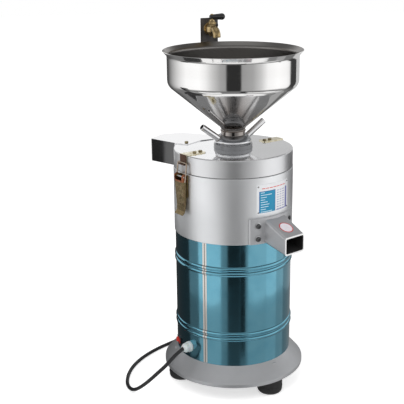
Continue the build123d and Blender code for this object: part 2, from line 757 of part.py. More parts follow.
with BuildPart() as dregs_chute:
    extrude(chute_plan(0), amount=chute_drop + chute_sheet)
    extrude(chute_plan(chute_sheet), amount=chute_drop, mode=Mode.SUBTRACT)
    with BuildSketch(Plane.XY.offset(z_lid_top - chute_drop)):
        Circle(housing_r + chute_fit)
    extrude(amount=chute_drop, mode=Mode.SUBTRACT)
    with Locations(*[Location((x, y, z_lid_top + chute_sheet)) for x, y in chute_screws_at]):
        Hole(screw_r + fit, depth=chute_sheet)
save(dregs_chute.part, "dregs_chute")


def pan_screw(x, y, z_seat):
    """A small pan-head screw standing on a seat, with its shank down into the lid."""
    with BuildSketch(Plane.XY.offset(z_seat)) as head:
        with Locations((x, y)):
            Circle(screw_r * 2)
    extrude(head.sketch, amount=screw_r * 1.2, taper=12)
    with BuildSketch(Plane.XY.offset(z_seat)) as shank:
        with Locations((x, y)):
            Circle(screw_r)
    extrude(shank.sketch, amount=-(z_seat - z_lid_top + lid_top_t - 0.5))


with BuildPart() as chute_screws:
    for x, y in chute_screws_at:
        pan_screw(x, y, z_lid_top + chute_sheet)
save(chute_screws.part, "chute_screws")

# Stone carriage: a disc with a threaded tube that stands up through the lid and takes the hopper's neck
with BuildPart() as stone_carriage:
    with BuildSketch(Plane.XZ):
        with BuildLine():
            Polyline((carriage_bore_r, z_carriage), (carriage_disc_r, z_carriage), (carriage_disc_r, z_carriage + 8.0),
                     (carriage_tube_r + 6.0, z_carriage + 8.0), (carriage_tube_r, z_carriage + 20.0),
                     (carriage_tube_r, z_tube_top), (hopper_neck_r + fit, z_tube_top),
                     (hopper_neck_r + fit, z_hopper), (carriage_bore_r, z_hopper), close=True)
        make_face()
    revolve(axis=Axis.Z)
    chamfer(stone_carriage.edges().group_by(Axis.Z)[-1].sort_by(SortBy.RADIUS)[-1], length=1.0)
    with BuildSketch(facing(45, carriage_tube_r + 1.0, z_lid_top + boss_h / 2)):
        SlotCenterToCenter(10.0, 5.3, rotation=90)
    extrude(amount=-4.0, mode=Mode.SUBTRACT)
save(stone_carriage.part, "stone_carriage")

# Upper stone: a ring of grit with a feed eye that opens downward
with BuildPart() as upper_stone:
    with BuildSketch(Plane.XZ):
        with BuildLine():
            Polyline((stone_eye_r, z_carriage), (stone_r, z_carriage), (stone_r, z_upper_stone),
                     (stone_r * 0.6, z_upper_stone), (stone_eye_r, z_upper_stone + stone_h * 0.6), close=True)
        make_face()
    revolve(axis=Axis.Z)
save(upper_stone.part, "upper_stone")

# Lower stone on its holder, clamped by the shaft nut
with BuildPart() as lower_stone:
    with BuildSketch(Plane.XZ):
        with BuildLine():
            Polyline((stone_eye_r, z_stone), (stone_r, z_stone), (stone_r, z_stone + stone_h),
                     (stone_r * 0.6, z_stone + stone_h), (stone_eye_r, z_stone + stone_h * 0.7), close=True)
        make_face()
    revolve(axis=Axis.Z)
save(lower_stone.part, "lower_stone")

with BuildPart() as stone_holder:
    with BuildSketch(Plane.XZ):
        with BuildLine():
            Polyline((shaft_r + fit, z_floor + 12.0), (shaft_r + 8.0, z_floor + 12.0), (shaft_r + 10.0, z_holder),
                     (holder_r, z_holder), (holder_r, z_stone), (shaft_r + fit, z_stone), close=True)
        make_face()
    revolve(axis=Axis.Z)
save(stone_holder.part, "stone_holder")

with BuildPart() as shaft_nut:
    with BuildSketch(Plane.XY.offset(z_stone)):
        RegularPolygon(radius=15.0, side_count=6, major_radius=False)
        Circle(shaft_r + fit, mode=Mode.SUBTRACT)
    extrude(amount=nut_h)
save(shaft_nut.part, "shaft_nut")

# Separating basket: a cone of ribs round the stones that carries the screen and turns with the lower stone
def cone_shell(r_low, z_low, r_high, z_high, thickness):
    """A thin cone between two heights, given by its outer radii."""
    with BuildSketch(Plane.XZ) as profile:
        with BuildLine():
            Polyline((r_low, z_low), (r_high, z_high), (r_high - thickness, z_high), (r_low - thickness, z_low),
                     close=True)
        make_face()
    revolve(profile.sketch, axis=Axis.Z)


with BuildPart() as basket_frame:
    z_basket_top = z_holder + basket_rise
    cone_shell(holder_r + basket_foot_t, z_holder, basket_r, z_basket_top, basket_t)
    with BuildSketch(Plane.XY.offset(z_holder)):
        Circle(holder_r + basket_foot_t)
        Circle(holder_r, mode=Mode.SUBTRACT)
    extrude(amount=holder_t)
    window_angle = 360 / basket_windows
    with BuildSketch(Plane.XY.offset(z_holder + holder_t + 6.0)):
        for number in range(basket_windows):
            with BuildLine():
                Polyline(*wedge((number + 0.17) * window_angle, (number + 0.83) * window_angle, holder_r / 2, 2 * basket_r),
                         close=True)
            make_face()
    extrude(amount=basket_rise - holder_t - 14.0, mode=Mode.SUBTRACT)
save(basket_frame.part, "basket_frame")

with BuildPart() as screen:
    run = (basket_r - holder_r - basket_foot_t) / basket_rise
    screen_in = basket_t + 0.1
    cone_shell(holder_r + basket_foot_t - screen_in + run * (holder_t + 1.0), z_holder + holder_t + 1.0,
               basket_r - screen_in, z_basket_top, screen_t)
save(screen.part, "screen")

# Adjuster ring: a round nut on the carriage's thread, with a polished foot band and a cone up to the neck
z_ring_top = z_boss + ring_h


def ring_envelope():
    """Outer form of the adjuster ring, as a closed half profile."""
    with BuildSketch(Plane.XZ) as profile:
        with BuildLine():
            foot = Polyline((0, z_boss), (ring_r - 4.0, z_boss), (ring_r - 4.0, z_boss + ring_step_h),
                            (ring_r - 1.5, z_boss + ring_step_h))
            band = ThreePointArc(foot @ 1, (ring_r, z_boss + ring_step_h + ring_band_h / 2),
                                 (ring_r - 1.0, z_boss + ring_step_h + ring_band_h))
            ThreePointArc(band @ 1, ((ring_r + ring_top_r) / 2 + 1.2, (z_boss + z_ring_top + ring_step_h + ring_band_h) / 2),
                          (ring_top_r, z_ring_top))
            Polyline((ring_top_r, z_ring_top), (0, z_ring_top), (0, z_boss))
        make_face()
    return profile.sketch


with BuildPart() as adjuster_ring:
    revolve(ring_envelope(), axis=Axis.Z)
    with BuildSketch(Plane.XY.offset(z_boss)):
        Circle(carriage_tube_r + fit)
    extrude(amount=ring_h - ring_top_t, mode=Mode.SUBTRACT)
    with BuildSketch(Plane.XY.offset(z_boss)):
        Circle(hopper_neck_r + 0.4)
    extrude(amount=ring_h, mode=Mode.SUBTRACT)
save(adjuster_ring.part, "adjuster_ring")

# Adjuster handles: two open tubes welded to the ring, sloping up
handle_len = (handle_reach - handle_root_r) / cos(radians(handle_slope))
with BuildPart() as adjuster_handles:
    for turn in (0, 180):
        a = radians(handle_angle + turn)
        slope = radians(handle_slope)
        root = Plane(origin=(handle_root_r * cos(a), handle_root_r * sin(a), z_boss + handle_root_h),
                     z_dir=(cos(a) * cos(slope), sin(a) * cos(slope), sin(slope)))
        with BuildSketch(root):
            Circle(handle_r)
            Circle(handle_r - handle_wall, mode=Mode.SUBTRACT)
        extrude(amount=handle_len)
    revolve(ring_envelope(), axis=Axis.Z, mode=Mode.SUBTRACT)
save(adjuster_handles.part, "adjuster_handles")

# Hopper: one spun sheet from the neck through the cone and the band to the flared rim
with BuildPart() as hopper:
    with BuildSketch(Plane.XZ):
        with BuildLine():
            FilletPolyline((hopper_neck_r, z_hopper), (hopper_neck_r, z_hopper + hopper_neck_h),
                           (hopper_band_r, z_rim - hopper_band_h), (hopper_band_r, z_rim - rim_flare_h),
                           (hopper_rim_r, z_rim), radius=[10.0, knuckle_r, 8.0])
            offset(amount=hopper_sheet, side=Side.LEFT)
        make_face()
    revolve(axis=Axis.Z)
save(hopper.part, "hopper")

# Tap bracket: an upright strip tacked behind the rim, bent in below it to a foot on the hopper's band
tap_face_r = hopper_rim_r + fit
bracket_face_r = tap_face_r + bracket_t
foot_face_r = hopper_band_r + fit
z_foot = z_rim - bracket_down
with BuildPart() as tap_bracket:
    with BuildSketch(section(tap_angle)):
        with BuildLine():
            FilletPolyline((foot_face_r, z_foot), (foot_face_r, z_foot + bracket_foot_h),
                           (tap_face_r, z_foot + bracket_foot_h + bracket_bend_h), (tap_face_r, z_rim + bracket_up),
                           radius=bracket_bend_r)
            offset(amount=bracket_t, side=Side.RIGHT)
        make_face()
    extrude(amount=bracket_w / 2, both=True)
    outward = Axis((0, 0, 0), section(tap_angle).x_dir)
    fillet(tap_bracket.edges().filter_by(outward).group_by(Axis.Z)[-1], radius=1.5)
    with BuildSketch(facing(tap_angle, bracket_face_r, z_tap)):
        Circle(tap_thread_r + fit)
    extrude(amount=-bracket_t, mode=Mode.SUBTRACT)
save(tap_bracket.part, "tap_bracket")

# Tap body: flange, valve bulb with its neck, a down-turned nozzle and a threaded tail through the bracket
tap_plane = section(tap_angle)
nozzle_r = tap_face_r - tap_reach
valve_r = tap_face_r - tap_valve_reach
bend_r = 12.0
tap_tail = bracket_t + tap_thread_l
with BuildPart() as tap_body:
    with BuildSketch(facing(tap_angle, tap_face_r, z_tap)):
        Circle(tap_flange_r)
    extrude(amount=-tap_flange_t)
    fillet(tap_body.edges().filter_by(GeomType.CIRCLE).group_by(SortBy.RADIUS)[-1], radius=1.0)
    with BuildLine(tap_plane) as tap_path:
        FilletPolyline((tap_face_r - 1.0, z_tap), (nozzle_r, z_tap), (nozzle_r, z_tap - tap_drop), radius=bend_r)
    with BuildSketch(facing(tap_angle, tap_face_r - 1.0, z_tap)):
        Circle(tap_pipe_r)
    sweep(path=tap_path.line)
    with BuildSketch(tap_plane):
        with BuildLine():
            Polyline((valve_r, z_tap - tap_bulb_r - 3.0), (valve_r + 5.0, z_tap - tap_bulb_r - 3.0),
                     (valve_r + tap_bulb_r, z_tap - 5.0), (valve_r + tap_bulb_r, z_tap + 5.0),
                     (valve_r + tap_neck_r, z_tap + tap_bulb_r), (valve_r + tap_neck_r, z_tap + tap_neck_h),
                     (valve_r, z_tap + tap_neck_h), close=True)
        make_face()
    revolve(axis=Axis((valve_r * cos(radians(tap_angle)), valve_r * sin(radians(tap_angle)), 0), (0, 0, 1)))
    with BuildSketch(facing(tap_angle, tap_face_r, z_tap)):
        Circle(tap_thread_r)
    extrude(amount=tap_tail)
    with BuildSketch(facing(tap_angle, tap_face_r + tap_tail, z_tap)):
        Circle(tap_end_r)
    extrude(amount=tap_end_l)
    with BuildSketch(facing(tap_angle, tap_face_r + tap_tail + tap_end_l, z_tap)):
        Circle(tap_bore_r)
    extrude(amount=-(tap_tail + tap_end_l + tap_flange_t), mode=Mode.SUBTRACT)
    with BuildSketch(Plane(origin=(nozzle_r * cos(radians(tap_angle)), nozzle_r * sin(radians(tap_angle)),
                                   z_tap - tap_drop))):
        Circle(tap_bore_r)
    extrude(amount=tap_nozzle_depth, mode=Mode.SUBTRACT)
    with BuildSketch(Plane(origin=(valve_r * cos(radians(tap_angle)), valve_r * sin(radians(tap_angle)),
                                   z_tap + tap_neck_h))):
        Circle(stem_r + fit)
    extrude(amount=stem_foot_h - tap_neck_h, mode=Mode.SUBTRACT)
save(tap_body.part, "tap_body")

with BuildPart() as tap_nut:
    with BuildSketch(facing(tap_angle, bracket_face_r, z_tap)):
        RegularPolygon(radius=13.5, side_count=6, major_radius=False)
        Circle(tap_thread_r + fit, mode=Mode.SUBTRACT)
    extrude(amount=5.0)
save(tap_nut.part, "tap_nut")

# Tap stem and lever: a brass spindle with a moulded lever that thickens to a ball, square to the pipe when shut
valve_spot = (valve_r * cos(radians(tap_angle)), valve_r * sin(radians(tap_angle)))
stem_play = 0.5
collar_play = 0.3
z_collar = z_tap + tap_neck_h + collar_play
with BuildPart() as tap_stem:
    with BuildSketch(Plane(origin=(valve_spot[0], valve_spot[1], z_tap + stem_foot_h + stem_play))):
        Circle(stem_r)
    extrude(amount=lever_up - stem_foot_h - stem_play)
    with BuildSketch(Plane(origin=(valve_spot[0], valve_spot[1], z_collar))):
        Circle(tap_neck_r - 1.0)
    extrude(amount=stem_collar_h)
save(tap_stem.part, "tap_stem")

with BuildPart() as tap_lever:
    lever_dir = radians(tap_angle - 90)
    z_lever = z_tap + lever_up
    lever_plane = Plane(origin=(valve_spot[0], valve_spot[1], z_lever), x_dir=(cos(lever_dir), sin(lever_dir), 0),
                        z_dir=(sin(lever_dir), -cos(lever_dir), 0))
    along_lever = Axis(lever_plane.origin, lever_plane.x_dir)
    with BuildSketch(lever_plane):
        with BuildLine():
            Polyline((lever_len + lever_ball_r, 0), (-lever_back, 0), (-lever_back, lever_r), (lever_len, lever_ball_r))
            CenterArc((lever_len, 0), lever_ball_r, 0, 90)
        make_face()
    revolve(axis=along_lever)
    fillet(tap_lever.faces().sort_by(along_lever)[0].edges(), radius=2.0)
    with BuildSketch(Plane(origin=(valve_spot[0], valve_spot[1], z_collar + stem_collar_h))):
        Circle(stem_r + fit / 2)
    extrude(amount=z_lever - z_collar - stem_collar_h, mode=Mode.SUBTRACT)
save(tap_lever.part, "tap_lever")

# Latches: a keeper on the lid, a riveted base with ears, a channel lever and a wire bail hooked in the keeper
z_pivot = z_housing_top - pivot_down
pivot_reach = housing_r + pivot_out
bail_reach = pivot_reach - over_centre
z_bail = z_pivot - sqrt(bail_arm ** 2 - over_centre ** 2)
keeper_face = lid_r + 0.1
hook_reach = keeper_face + keeper_t + wire_r + hook_play
lip_reach = hook_reach + wire_r + hook_play
z_hook = z_lid_top - keeper_drop + keeper_t + wire_r + hook_rest
for side, angle in latch_angles.items():
    plane = section(angle)

    # keeper: strap along the lid's top, down its side and out into a shallow hook
    with BuildPart() as latch_keeper:
        with BuildSketch(plane):
            with BuildLine():
                Polyline((lid_r - keeper_reach, z_lid_top + keeper_t), (keeper_face + keeper_t, z_lid_top + keeper_t),
                         (keeper_face + keeper_t, z_lid_top - keeper_drop + keeper_t),
                         (lip_reach, z_lid_top - keeper_drop + keeper_t),
                         (lip_reach, z_lid_top - keeper_drop + keeper_t + hook_h),
                         (lip_reach + keeper_t, z_lid_top - keeper_drop + keeper_t + hook_h),
                         (lip_reach + keeper_t, z_lid_top - keeper_drop), (keeper_face, z_lid_top - keeper_drop),
                         (keeper_face, z_lid_top), (lid_r - keeper_reach, z_lid_top), close=True)
            make_face()
        extrude(amount=keeper_w / 2, both=True)
        top_corners = latch_keeper.edges().filter_by(Axis.Z).filter_by(
            lambda e: sqrt(e.center().X ** 2 + e.center().Y ** 2) < lid_r - keeper_reach + 20)
        fillet(top_corners, radius=4.0)
        for reach in [lid_r - keeper_reach + step for step in keeper_screw_at]:
            with Locations(Location((reach * cos(radians(angle)), reach * sin(radians(angle)), z_lid_top + keeper_t))):
                Hole(screw_r + fit, depth=keeper_t)
    save(latch_keeper.part, f"latch_keeper_{side}")

    # base: plate on the housing's side with two ears for the pivot pin
    with BuildPart() as latch_base:
        with BuildSketch(facing(angle, housing_r + fit, z_housing_top - latch_base_h / 2 - 1.0)):
            RectangleRounded(latch_base_w, latch_base_h, 3.0)
        extrude(amount=latch_base_t)
        ear_in = latch_lever_w / 2 - latch_lever_t - 0.15 - ear_t
        for flip in (-1, 1):
            with BuildSketch(plane.offset(flip * (ear_in + ear_t / 2))):
                with BuildLine():
                    Polyline((housing_r + fit + latch_base_t * 0.5, z_pivot - 14.0),
                             (pivot_reach, z_pivot - latch_ear_r), (pivot_reach, z_pivot + latch_ear_r),
                             (housing_r + fit + latch_base_t * 0.5, z_pivot + latch_ear_r), close=True)
                make_face()
                with Locations((pivot_reach, z_pivot)):
                    Circle(latch_ear_r)
            extrude(amount=ear_t / 2, both=True)
        with BuildSketch(plane):
            with Locations((pivot_reach, z_pivot)):
                Circle(pivot_r + fit)
        extrude(amount=latch_lever_w, both=True, mode=Mode.SUBTRACT)
        for rise in latch_rivet_at:
            with Locations(facing(angle, housing_r + fit + latch_base_t, z_housing_top - 1.0 + rise)):
                Hole(latch_rivet_r + fit, depth=latch_base_t)
    save(latch_base.part, f"latch_base_{side}")

    # lever: a channel whose web faces outward, with a finger lip at its lower end
    z_tail = z_pivot - latch_lever_len
    inner_n = housing_r + fit + latch_base_t + 0.5
    outer_n = pivot_reach + latch_ear_r + 0.3 + latch_lever_t
    tail_n = outer_n - latch_lever_lean
    cheek_r = (outer_n - inner_n) / 2
    with BuildPart() as latch_lever:
        with BuildSketch(plane):
            with BuildLine():
                Polyline((inner_n, z_pivot), (inner_n, z_pivot - 26.0), (tail_n - 3.5, z_tail + 16.0),
                         (tail_n - 1.5, z_tail + 6.0), (tail_n + 4.0, z_tail), (tail_n + 5.6, z_tail + 1.2),
                         (tail_n + 0.6, z_tail + 8.0), (tail_n, z_tail + 18.0), (outer_n, z_pivot), close=True)
            make_face()
            with Locations((inner_n + cheek_r, z_pivot)):
                Circle(cheek_r)
        extrude(amount=latch_lever_w / 2, both=True)
        with BuildSketch(plane):
            with BuildLine():
                Polyline((inner_n - 6.0, z_pivot + 12.0), (outer_n - latch_lever_t, z_pivot + 12.0),
                         (tail_n - latch_lever_t, z_tail + 18.0), (tail_n - latch_lever_t + 0.4, z_tail + 9.0),
                         (inner_n - 6.0, z_tail + 9.0), close=True)
            make_face()
            with Locations((outer_n, z_pivot + 3.0)):
                Rectangle(2 * cheek_r, 20.0)
        extrude(amount=latch_lever_w / 2 - latch_lever_t, both=True, mode=Mode.SUBTRACT)
        with BuildSketch(plane):
            with Locations((pivot_reach, z_pivot)):
                Circle(pivot_r + fit)
            with Locations((bail_reach, z_bail)):
                Circle(wire_r + fit)
        extrude(amount=latch_lever_w, both=True, mode=Mode.SUBTRACT)
    save(latch_lever.part, f"latch_lever_{side}")

    # bail: a bent wire, its crossbar in the keeper's hook and its ends in the lever
    with BuildPart() as latch_bail:
        wire_plane = Plane(origin=plane.from_local_coords((bail_reach, z_bail, 0)),
                           x_dir=plane.z_dir,
                           z_dir=plane.z_dir.cross(
                               Vector(*(plane.from_local_coords((hook_reach, z_hook, 0))
                                        - plane.from_local_coords((bail_reach, z_bail, 0))))))
        wire_len = sqrt((hook_reach - bail_reach) ** 2 + (z_hook - z_bail) ** 2)
        stub = latch_lever_w / 2 - latch_lever_t
        with BuildLine(wire_plane) as wire_path:
            FilletPolyline((stub, 0), (bail_half_w, 0), (bail_half_w, wire_len), (-bail_half_w, wire_len),
                           (-bail_half_w, 0), (-stub, 0), radius=[1.6, 2.4, 2.4, 1.6])
        with BuildSketch(Plane(origin=wire_path.line @ 0, z_dir=wire_path.line % 0)):
            Circle(wire_r)
        sweep(path=wire_path.line)
    save(latch_bail.part, f"latch_bail_{side}")

# Latch pins: each is held in its base's ears, and the lever turns on its ends
with BuildPart() as latch_pins:
    for angle in latch_angles.values():
        with BuildSketch(section(angle)):
            with Locations((pivot_reach, z_pivot)):
                Circle(pivot_r)
        extrude(amount=latch_lever_w / 2, both=True)
save(latch_pins.part, "latch_pins")

with BuildPart() as keeper_screws:
    for angle in latch_angles.values():
        for reach in [lid_r - keeper_reach + step for step in keeper_screw_at]:
            pan_screw(reach * cos(radians(angle)), reach * sin(radians(angle)), z_lid_top + keeper_t)
save(keeper_screws.part, "keeper_screws")

with BuildPart() as latch_rivets:
    for angle in latch_angles.values():
        for rise in latch_rivet_at:
            seat = facing(angle, housing_r + fit + latch_base_t, z_housing_top - 1.0 + rise)
            with BuildSketch(seat):
                Circle(latch_rivet_r * 1.7)
            extrude(amount=1.4, taper=30)
            with BuildSketch(seat):
                Circle(latch_rivet_r)
            extrude(amount=-(latch_base_t + fit))
save(latch_rivets.part, "latch_rivets")

# Cable gland: a moulded collar and dome nut outside the drum, and its lock nut inside
with BuildPart() as cable_gland:
    with BuildSketch(section(gland_angle)):
        with BuildLine():
            Polyline((drum_in_r - 9.0, z_gland + cord_r), (drum_in_r - 9.0, z_gland + gland_thread_r),
                     (drum_r, z_gland + gland_thread_r), (drum_r, z_gland + gland_collar_r),
                     (drum_r + 5.0, z_gland + gland_collar_r), (drum_r + 5.0, z_gland + gland_collar_r - 1.5),
                     (drum_r + gland_out - 5.0, z_gland + gland_collar_r - 1.8),
                     (drum_r + gland_out, z_gland + cord_r + 2.2), (drum_r + gland_out, z_gland + cord_r), close=True)
        make_face()
    revolve(axis=Axis((0, 0, z_gland), facing(gland_angle, 1, 0).z_dir))
save(cable_gland.part, "cable_gland")

with BuildPart() as gland_nut:
    with BuildSketch(facing(gland_angle, drum_in_r - 6.5, z_gland)):
        RegularPolygon(radius=11.0, side_count=6, major_radius=False)
        Circle(gland_thread_r + fit, mode=Mode.SUBTRACT)
    extrude(amount=5.5)
save(gland_nut.part, "gland_nut")

# Switch: a moulded body with a bezel through the drum's wall, and a red rocker on its own stub axle
switch_face = drum_r + 0.2
rocker_tilt = 10.0
switch_plane = facing(switch_angle, switch_face, z_switch)
with BuildPart() as switch_body:
    with BuildSketch(switch_plane):
        RectangleRounded(switch_w, switch_tall, 1.5)
    extrude(amount=2.0)
    with BuildSketch(switch_plane):
        Rectangle(switch_w - 4.4, switch_tall - 3.4)
    extrude(amount=-16.0)
    with BuildSketch(switch_plane.offset(2.0)):
        Rectangle(switch_w - 5.8, switch_tall - 5.6)
    extrude(amount=-10.0, mode=Mode.SUBTRACT)
    with BuildSketch(Plane(origin=switch_plane.origin - switch_plane.z_dir * 1.0, z_dir=(0, 0, 1))):
        Circle(1.25)
    extrude(amount=switch_tall / 2 - 2.2, both=True, mode=Mode.SUBTRACT)
save(switch_body.part, "switch_body")

with BuildPart() as switch_rocker:
    rocker_half = (switch_w - 5.8) / 2 - 0.9
    rocker_origin = switch_plane.origin - switch_plane.z_dir * 1.0
    tilt = radians(switch_angle + rocker_tilt)
    with BuildSketch(Plane(origin=rocker_origin, x_dir=(-sin(tilt), cos(tilt), 0), z_dir=(0, 0, 1))):
        with BuildLine():
            Polyline((-rocker_half, -5.6), (0, -3.8), (rocker_half, -5.6), (rocker_half, 0.0),
                     (3.0, 4.5), (-3.0, 4.5), (-rocker_half, 0.0), close=True)
        make_face()
    extrude(amount=(switch_tall - 6.2) / 2, both=True)
    with BuildSketch(Plane(origin=rocker_origin, z_dir=(0, 0, 1))):
        Circle(1.2)
    extrude(amount=switch_tall / 2 - 2.4, both=True)
save(switch_rocker.part, "switch_rocker")

# Power cord: out of the gland, down to the floor and round the back to the coil
z_lying = cord_r + 0.2
cord_route = [
    (-(drum_r + gland_out), 0, z_gland), (-156, 0, z_gland - 6), (-171, 0, z_gland - 16), (-187, 1, z_gland - 26),
    (-203, 5, z_gland - 37), (-217, 14, z_gland - 52), (-226, 30, z_gland - 69), (-229, 51, z_gland - 84),
    (-224, 76, z_lying + 3), (-211, 103, z_lying), (-189, 130, z_lying), (-161, 154, z_lying),
    (-127, 173, z_lying), (-90, 186, z_lying), (-51, 194, z_lying), (-12, 197, z_lying), (27, 199, z_lying),
    (63, 204, z_lying), (97, 199, z_lying),
]


def corner_radii(points):
    """The radius of each bend: 0.45 of the shorter run beside it, over the tangent of half the turn."""
    radii = []
    for before, here, after in zip(points[:-2], points[1:-1], points[2:]):
        run_in = Vector(*here) - Vector(*before)
        run_out = Vector(*after) - Vector(*here)
        half_turn = radians(run_in.get_angle(run_out)) / 2
        radii.append(0.45 * min(run_in.length, run_out.length) / tan(half_turn))
    return radii


cord_radii = corner_radii(cord_route)
with BuildPart() as power_cord:
    with BuildLine() as cord_path:
        FilletPolyline(*cord_route, radius=cord_radii[:])
    with BuildSketch(Plane(origin=cord_path.line @ 0, z_dir=cord_path.line % 0)):
        Circle(cord_r)
    sweep(path=cord_path.line)
save(power_cord.part, "power_cord")
cord_len = cord_path.wire().length
print("cord bend radii", [round(r, 1) for r in cord_radii])
print("cord length", round(cord_len, 1), "volume", round(power_cord.part.volume),
      "section times length", round(pi * cord_r ** 2 * cord_len))

# Cord coil: the closed outer form of the turns that are put away behind the machine
coil_in = coil_r - coil_section / 2
with BuildPart() as cord_coil:
    with BuildSketch(Plane.XY):
        with Locations((coil_x, coil_y)):
            Circle(coil_r + coil_section / 2)
            Circle(coil_in, mode=Mode.SUBTRACT)
    extrude(amount=coil_section)
    fillet(cord_coil.edges().filter_by(GeomType.CIRCLE), radius=3.0)
save(cord_coil.part, "cord_coil")

# Plug: a moulded body with a tapered tail and three flat pins, lying on the coil along its turns
plug_tall = 16.6
plug_side = 40.0            # plug's middle beside the coil's centre
plug_back = 8.0             # plug's tail in front of the coil's centre
plug_z = coil_section + plug_tall / 2 + 0.1
with BuildPart() as power_plug:
    plug_plane = Plane(origin=(coil_x - plug_side, coil_y - plug_back, plug_z), x_dir=(1, 0, 0), z_dir=(0, 1, 0))
    with BuildSketch(plug_plane):
        RectangleRounded(26.0, 15.0, 6.0)
    with BuildSketch(plug_plane.offset(30.0)):
        RectangleRounded(34.0, plug_tall, 6.0)
    loft()
    with BuildSketch(plug_plane):
        Circle(6.0)
    with BuildSketch(plug_plane.offset(-18.0)):
        Circle(cord_r + 1.2)
    loft()
    with BuildSketch(plug_plane.offset(30.0)):
        with Locations((-8.0, 0), (8.0, 0)):
            Rectangle(6.3, 1.6)
        with Locations((0, 2.0)):
            Rectangle(1.6, 6.3)
    extrude(amount=18.0)
save(power_plug.part, "power_plug")
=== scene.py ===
from math import atan2, cos, degrees, hypot, pi, radians, sin, sqrt

import bmesh
import bpy
from mathutils import Matrix, Vector


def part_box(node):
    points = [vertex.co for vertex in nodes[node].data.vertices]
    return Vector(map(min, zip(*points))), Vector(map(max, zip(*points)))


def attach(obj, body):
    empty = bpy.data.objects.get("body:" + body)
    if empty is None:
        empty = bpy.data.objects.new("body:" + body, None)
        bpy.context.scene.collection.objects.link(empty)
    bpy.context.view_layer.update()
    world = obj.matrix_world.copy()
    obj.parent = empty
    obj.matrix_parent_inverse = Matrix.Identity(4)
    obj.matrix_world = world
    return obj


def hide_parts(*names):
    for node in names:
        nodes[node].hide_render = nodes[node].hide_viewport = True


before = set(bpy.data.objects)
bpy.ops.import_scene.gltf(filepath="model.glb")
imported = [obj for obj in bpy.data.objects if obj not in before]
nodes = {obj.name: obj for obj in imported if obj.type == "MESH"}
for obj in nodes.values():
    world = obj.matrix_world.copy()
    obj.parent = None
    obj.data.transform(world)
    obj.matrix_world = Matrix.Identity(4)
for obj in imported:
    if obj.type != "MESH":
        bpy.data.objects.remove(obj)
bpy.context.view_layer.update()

scene = bpy.context.scene

# Camera: stands a little above the hopper's height, left of the slurry spout, with a long lens.
# It is turned a touch about its own line of sight, as the photographer held it.
camera_spot = Vector((-1.193, -1.346, 0.9226))
camera_pitch, camera_yaw, camera_roll = 73.39, -39.5, -0.66
camera_data = bpy.data.cameras.new("studio_camera")
camera_data.lens = 81.0
camera_data.sensor_width = 36.0
camera = bpy.data.objects.new("studio_camera", camera_data)
scene.collection.objects.link(camera)
aim = Matrix.Rotation(radians(camera_yaw), 4, "Z") @ Matrix.Rotation(radians(camera_pitch), 4, "X")
camera.matrix_world = Matrix.Translation(camera_spot) @ aim @ Matrix.Rotation(radians(camera_roll), 4, "Z")
scene.camera = camera
scene.view_settings.view_transform = "Standard"
camera_side = degrees(atan2(camera_spot.y, camera_spot.x))

# Floor: a seamless white sweep. Metal doesn't see it, so that the drum and hopper show the studio's cards,
# and it keeps the soft shadow that the machine stands on. To the camera it is lifted to white.
floor_shape = bmesh.new()
bmesh.ops.create_circle(floor_shape, cap_ends=True, segments=64, radius=9.0)
floor_data = bpy.data.meshes.new("floor")
floor_shape.to_mesh(floor_data)
floor_shape.free()
floor = bpy.data.objects.new("floor", floor_data)
scene.collection.objects.link(floor)
floor.visible_glossy = False
paper = bpy.data.materials.new("white_paper")
paper.use_nodes = True
tree = paper.node_tree
tree.nodes.clear()
paint = tree.nodes.new("ShaderNodeBsdfDiffuse")
paint.inputs["Color"].default_value = (0.80, 0.80, 0.80, 1)
lift = tree.nodes.new("ShaderNodeEmission")
lift.inputs["Color"].default_value = (0.60, 0.60, 0.60, 1)
seen = tree.nodes.new("ShaderNodeLightPath")
both = tree.nodes.new("ShaderNodeAddShader")
tree.links.new(seen.outputs["Is Camera Ray"], lift.inputs["Strength"])
tree.links.new(paint.outputs[0], both.inputs[0])
tree.links.new(lift.outputs[0], both.inputs[1])
out = tree.nodes.new("ShaderNodeOutputMaterial")
tree.links.new(both.outputs[0], out.inputs["Surface"])
floor_data.materials.append(paper)

# Studio: an even pale room for matt surfaces. Polished metal sees two tall white cards with a dark gap
# between them, where the photographer stands, a dim ceiling, and the white sweep below and low behind.
# Angles are in degrees from the camera's side, to its right; a rise runs from -1 straight down to 1 straight up.
card_light = 1.25
card_sides = [(-180, 0.05), (-150, 0.07), (-136, 0.25), (-122, 0.45), (-104, 0.72), (-88, 0.93), (-60, 0.97),
              (-48, 0.84), (-36, 0.58), (-21, 0.34), (-12.5, 0.30), (-10.5, 0.025), (13, 0.025), (15, 0.30),
              (34, 0.36), (49, 0.57), (62, 0.88), (84, 0.97), (104, 0.90), (113, 0.80), (118, 0.04), (180, 0.04)]
room_heights = [(-1.0, 0.85), (-0.90, 0.85), (-0.80, 0.16), (-0.45, 0.16), (0.12, 0.86), (0.34, 0.86),
                (0.50, 0.20), (0.82, 0.20), (0.90, 0.48), (1.0, 0.48)]
room_share = [(-1.0, 1.0), (-0.56, 1.0), (-0.38, 0.0), (0.08, 0.0), (0.17, 1.0), (1.0, 1.0)]
world = bpy.data.worlds.new("studio")
scene.world = world
world.use_nodes = True
tree = world.node_tree
tree.nodes.clear()
looking = tree.nodes.new("ShaderNodeTexCoord")
parts = tree.nodes.new("ShaderNodeSeparateXYZ")
tree.links.new(looking.outputs["Generated"], parts.inputs[0])


def sum_node(kind, *values):
    """A maths node in the studio's tree: each value is a number or another node's output."""
    node = tree.nodes.new("ShaderNodeMath")
    node.operation = kind
    for socket, value in zip(node.inputs, values):
        if isinstance(value, (int, float)):
            socket.default_value = value
        else:
            tree.links.new(value, socket)
    return node.outputs[0]


turn = sum_node("ARCTAN2", parts.outputs["Y"], parts.outputs["X"])
from_camera = sum_node("SUBTRACT", sum_node("DIVIDE", turn, 2 * pi), camera_side / 360 - 0.5)
around = sum_node("FRACT", sum_node("ADD", from_camera, 1.0))


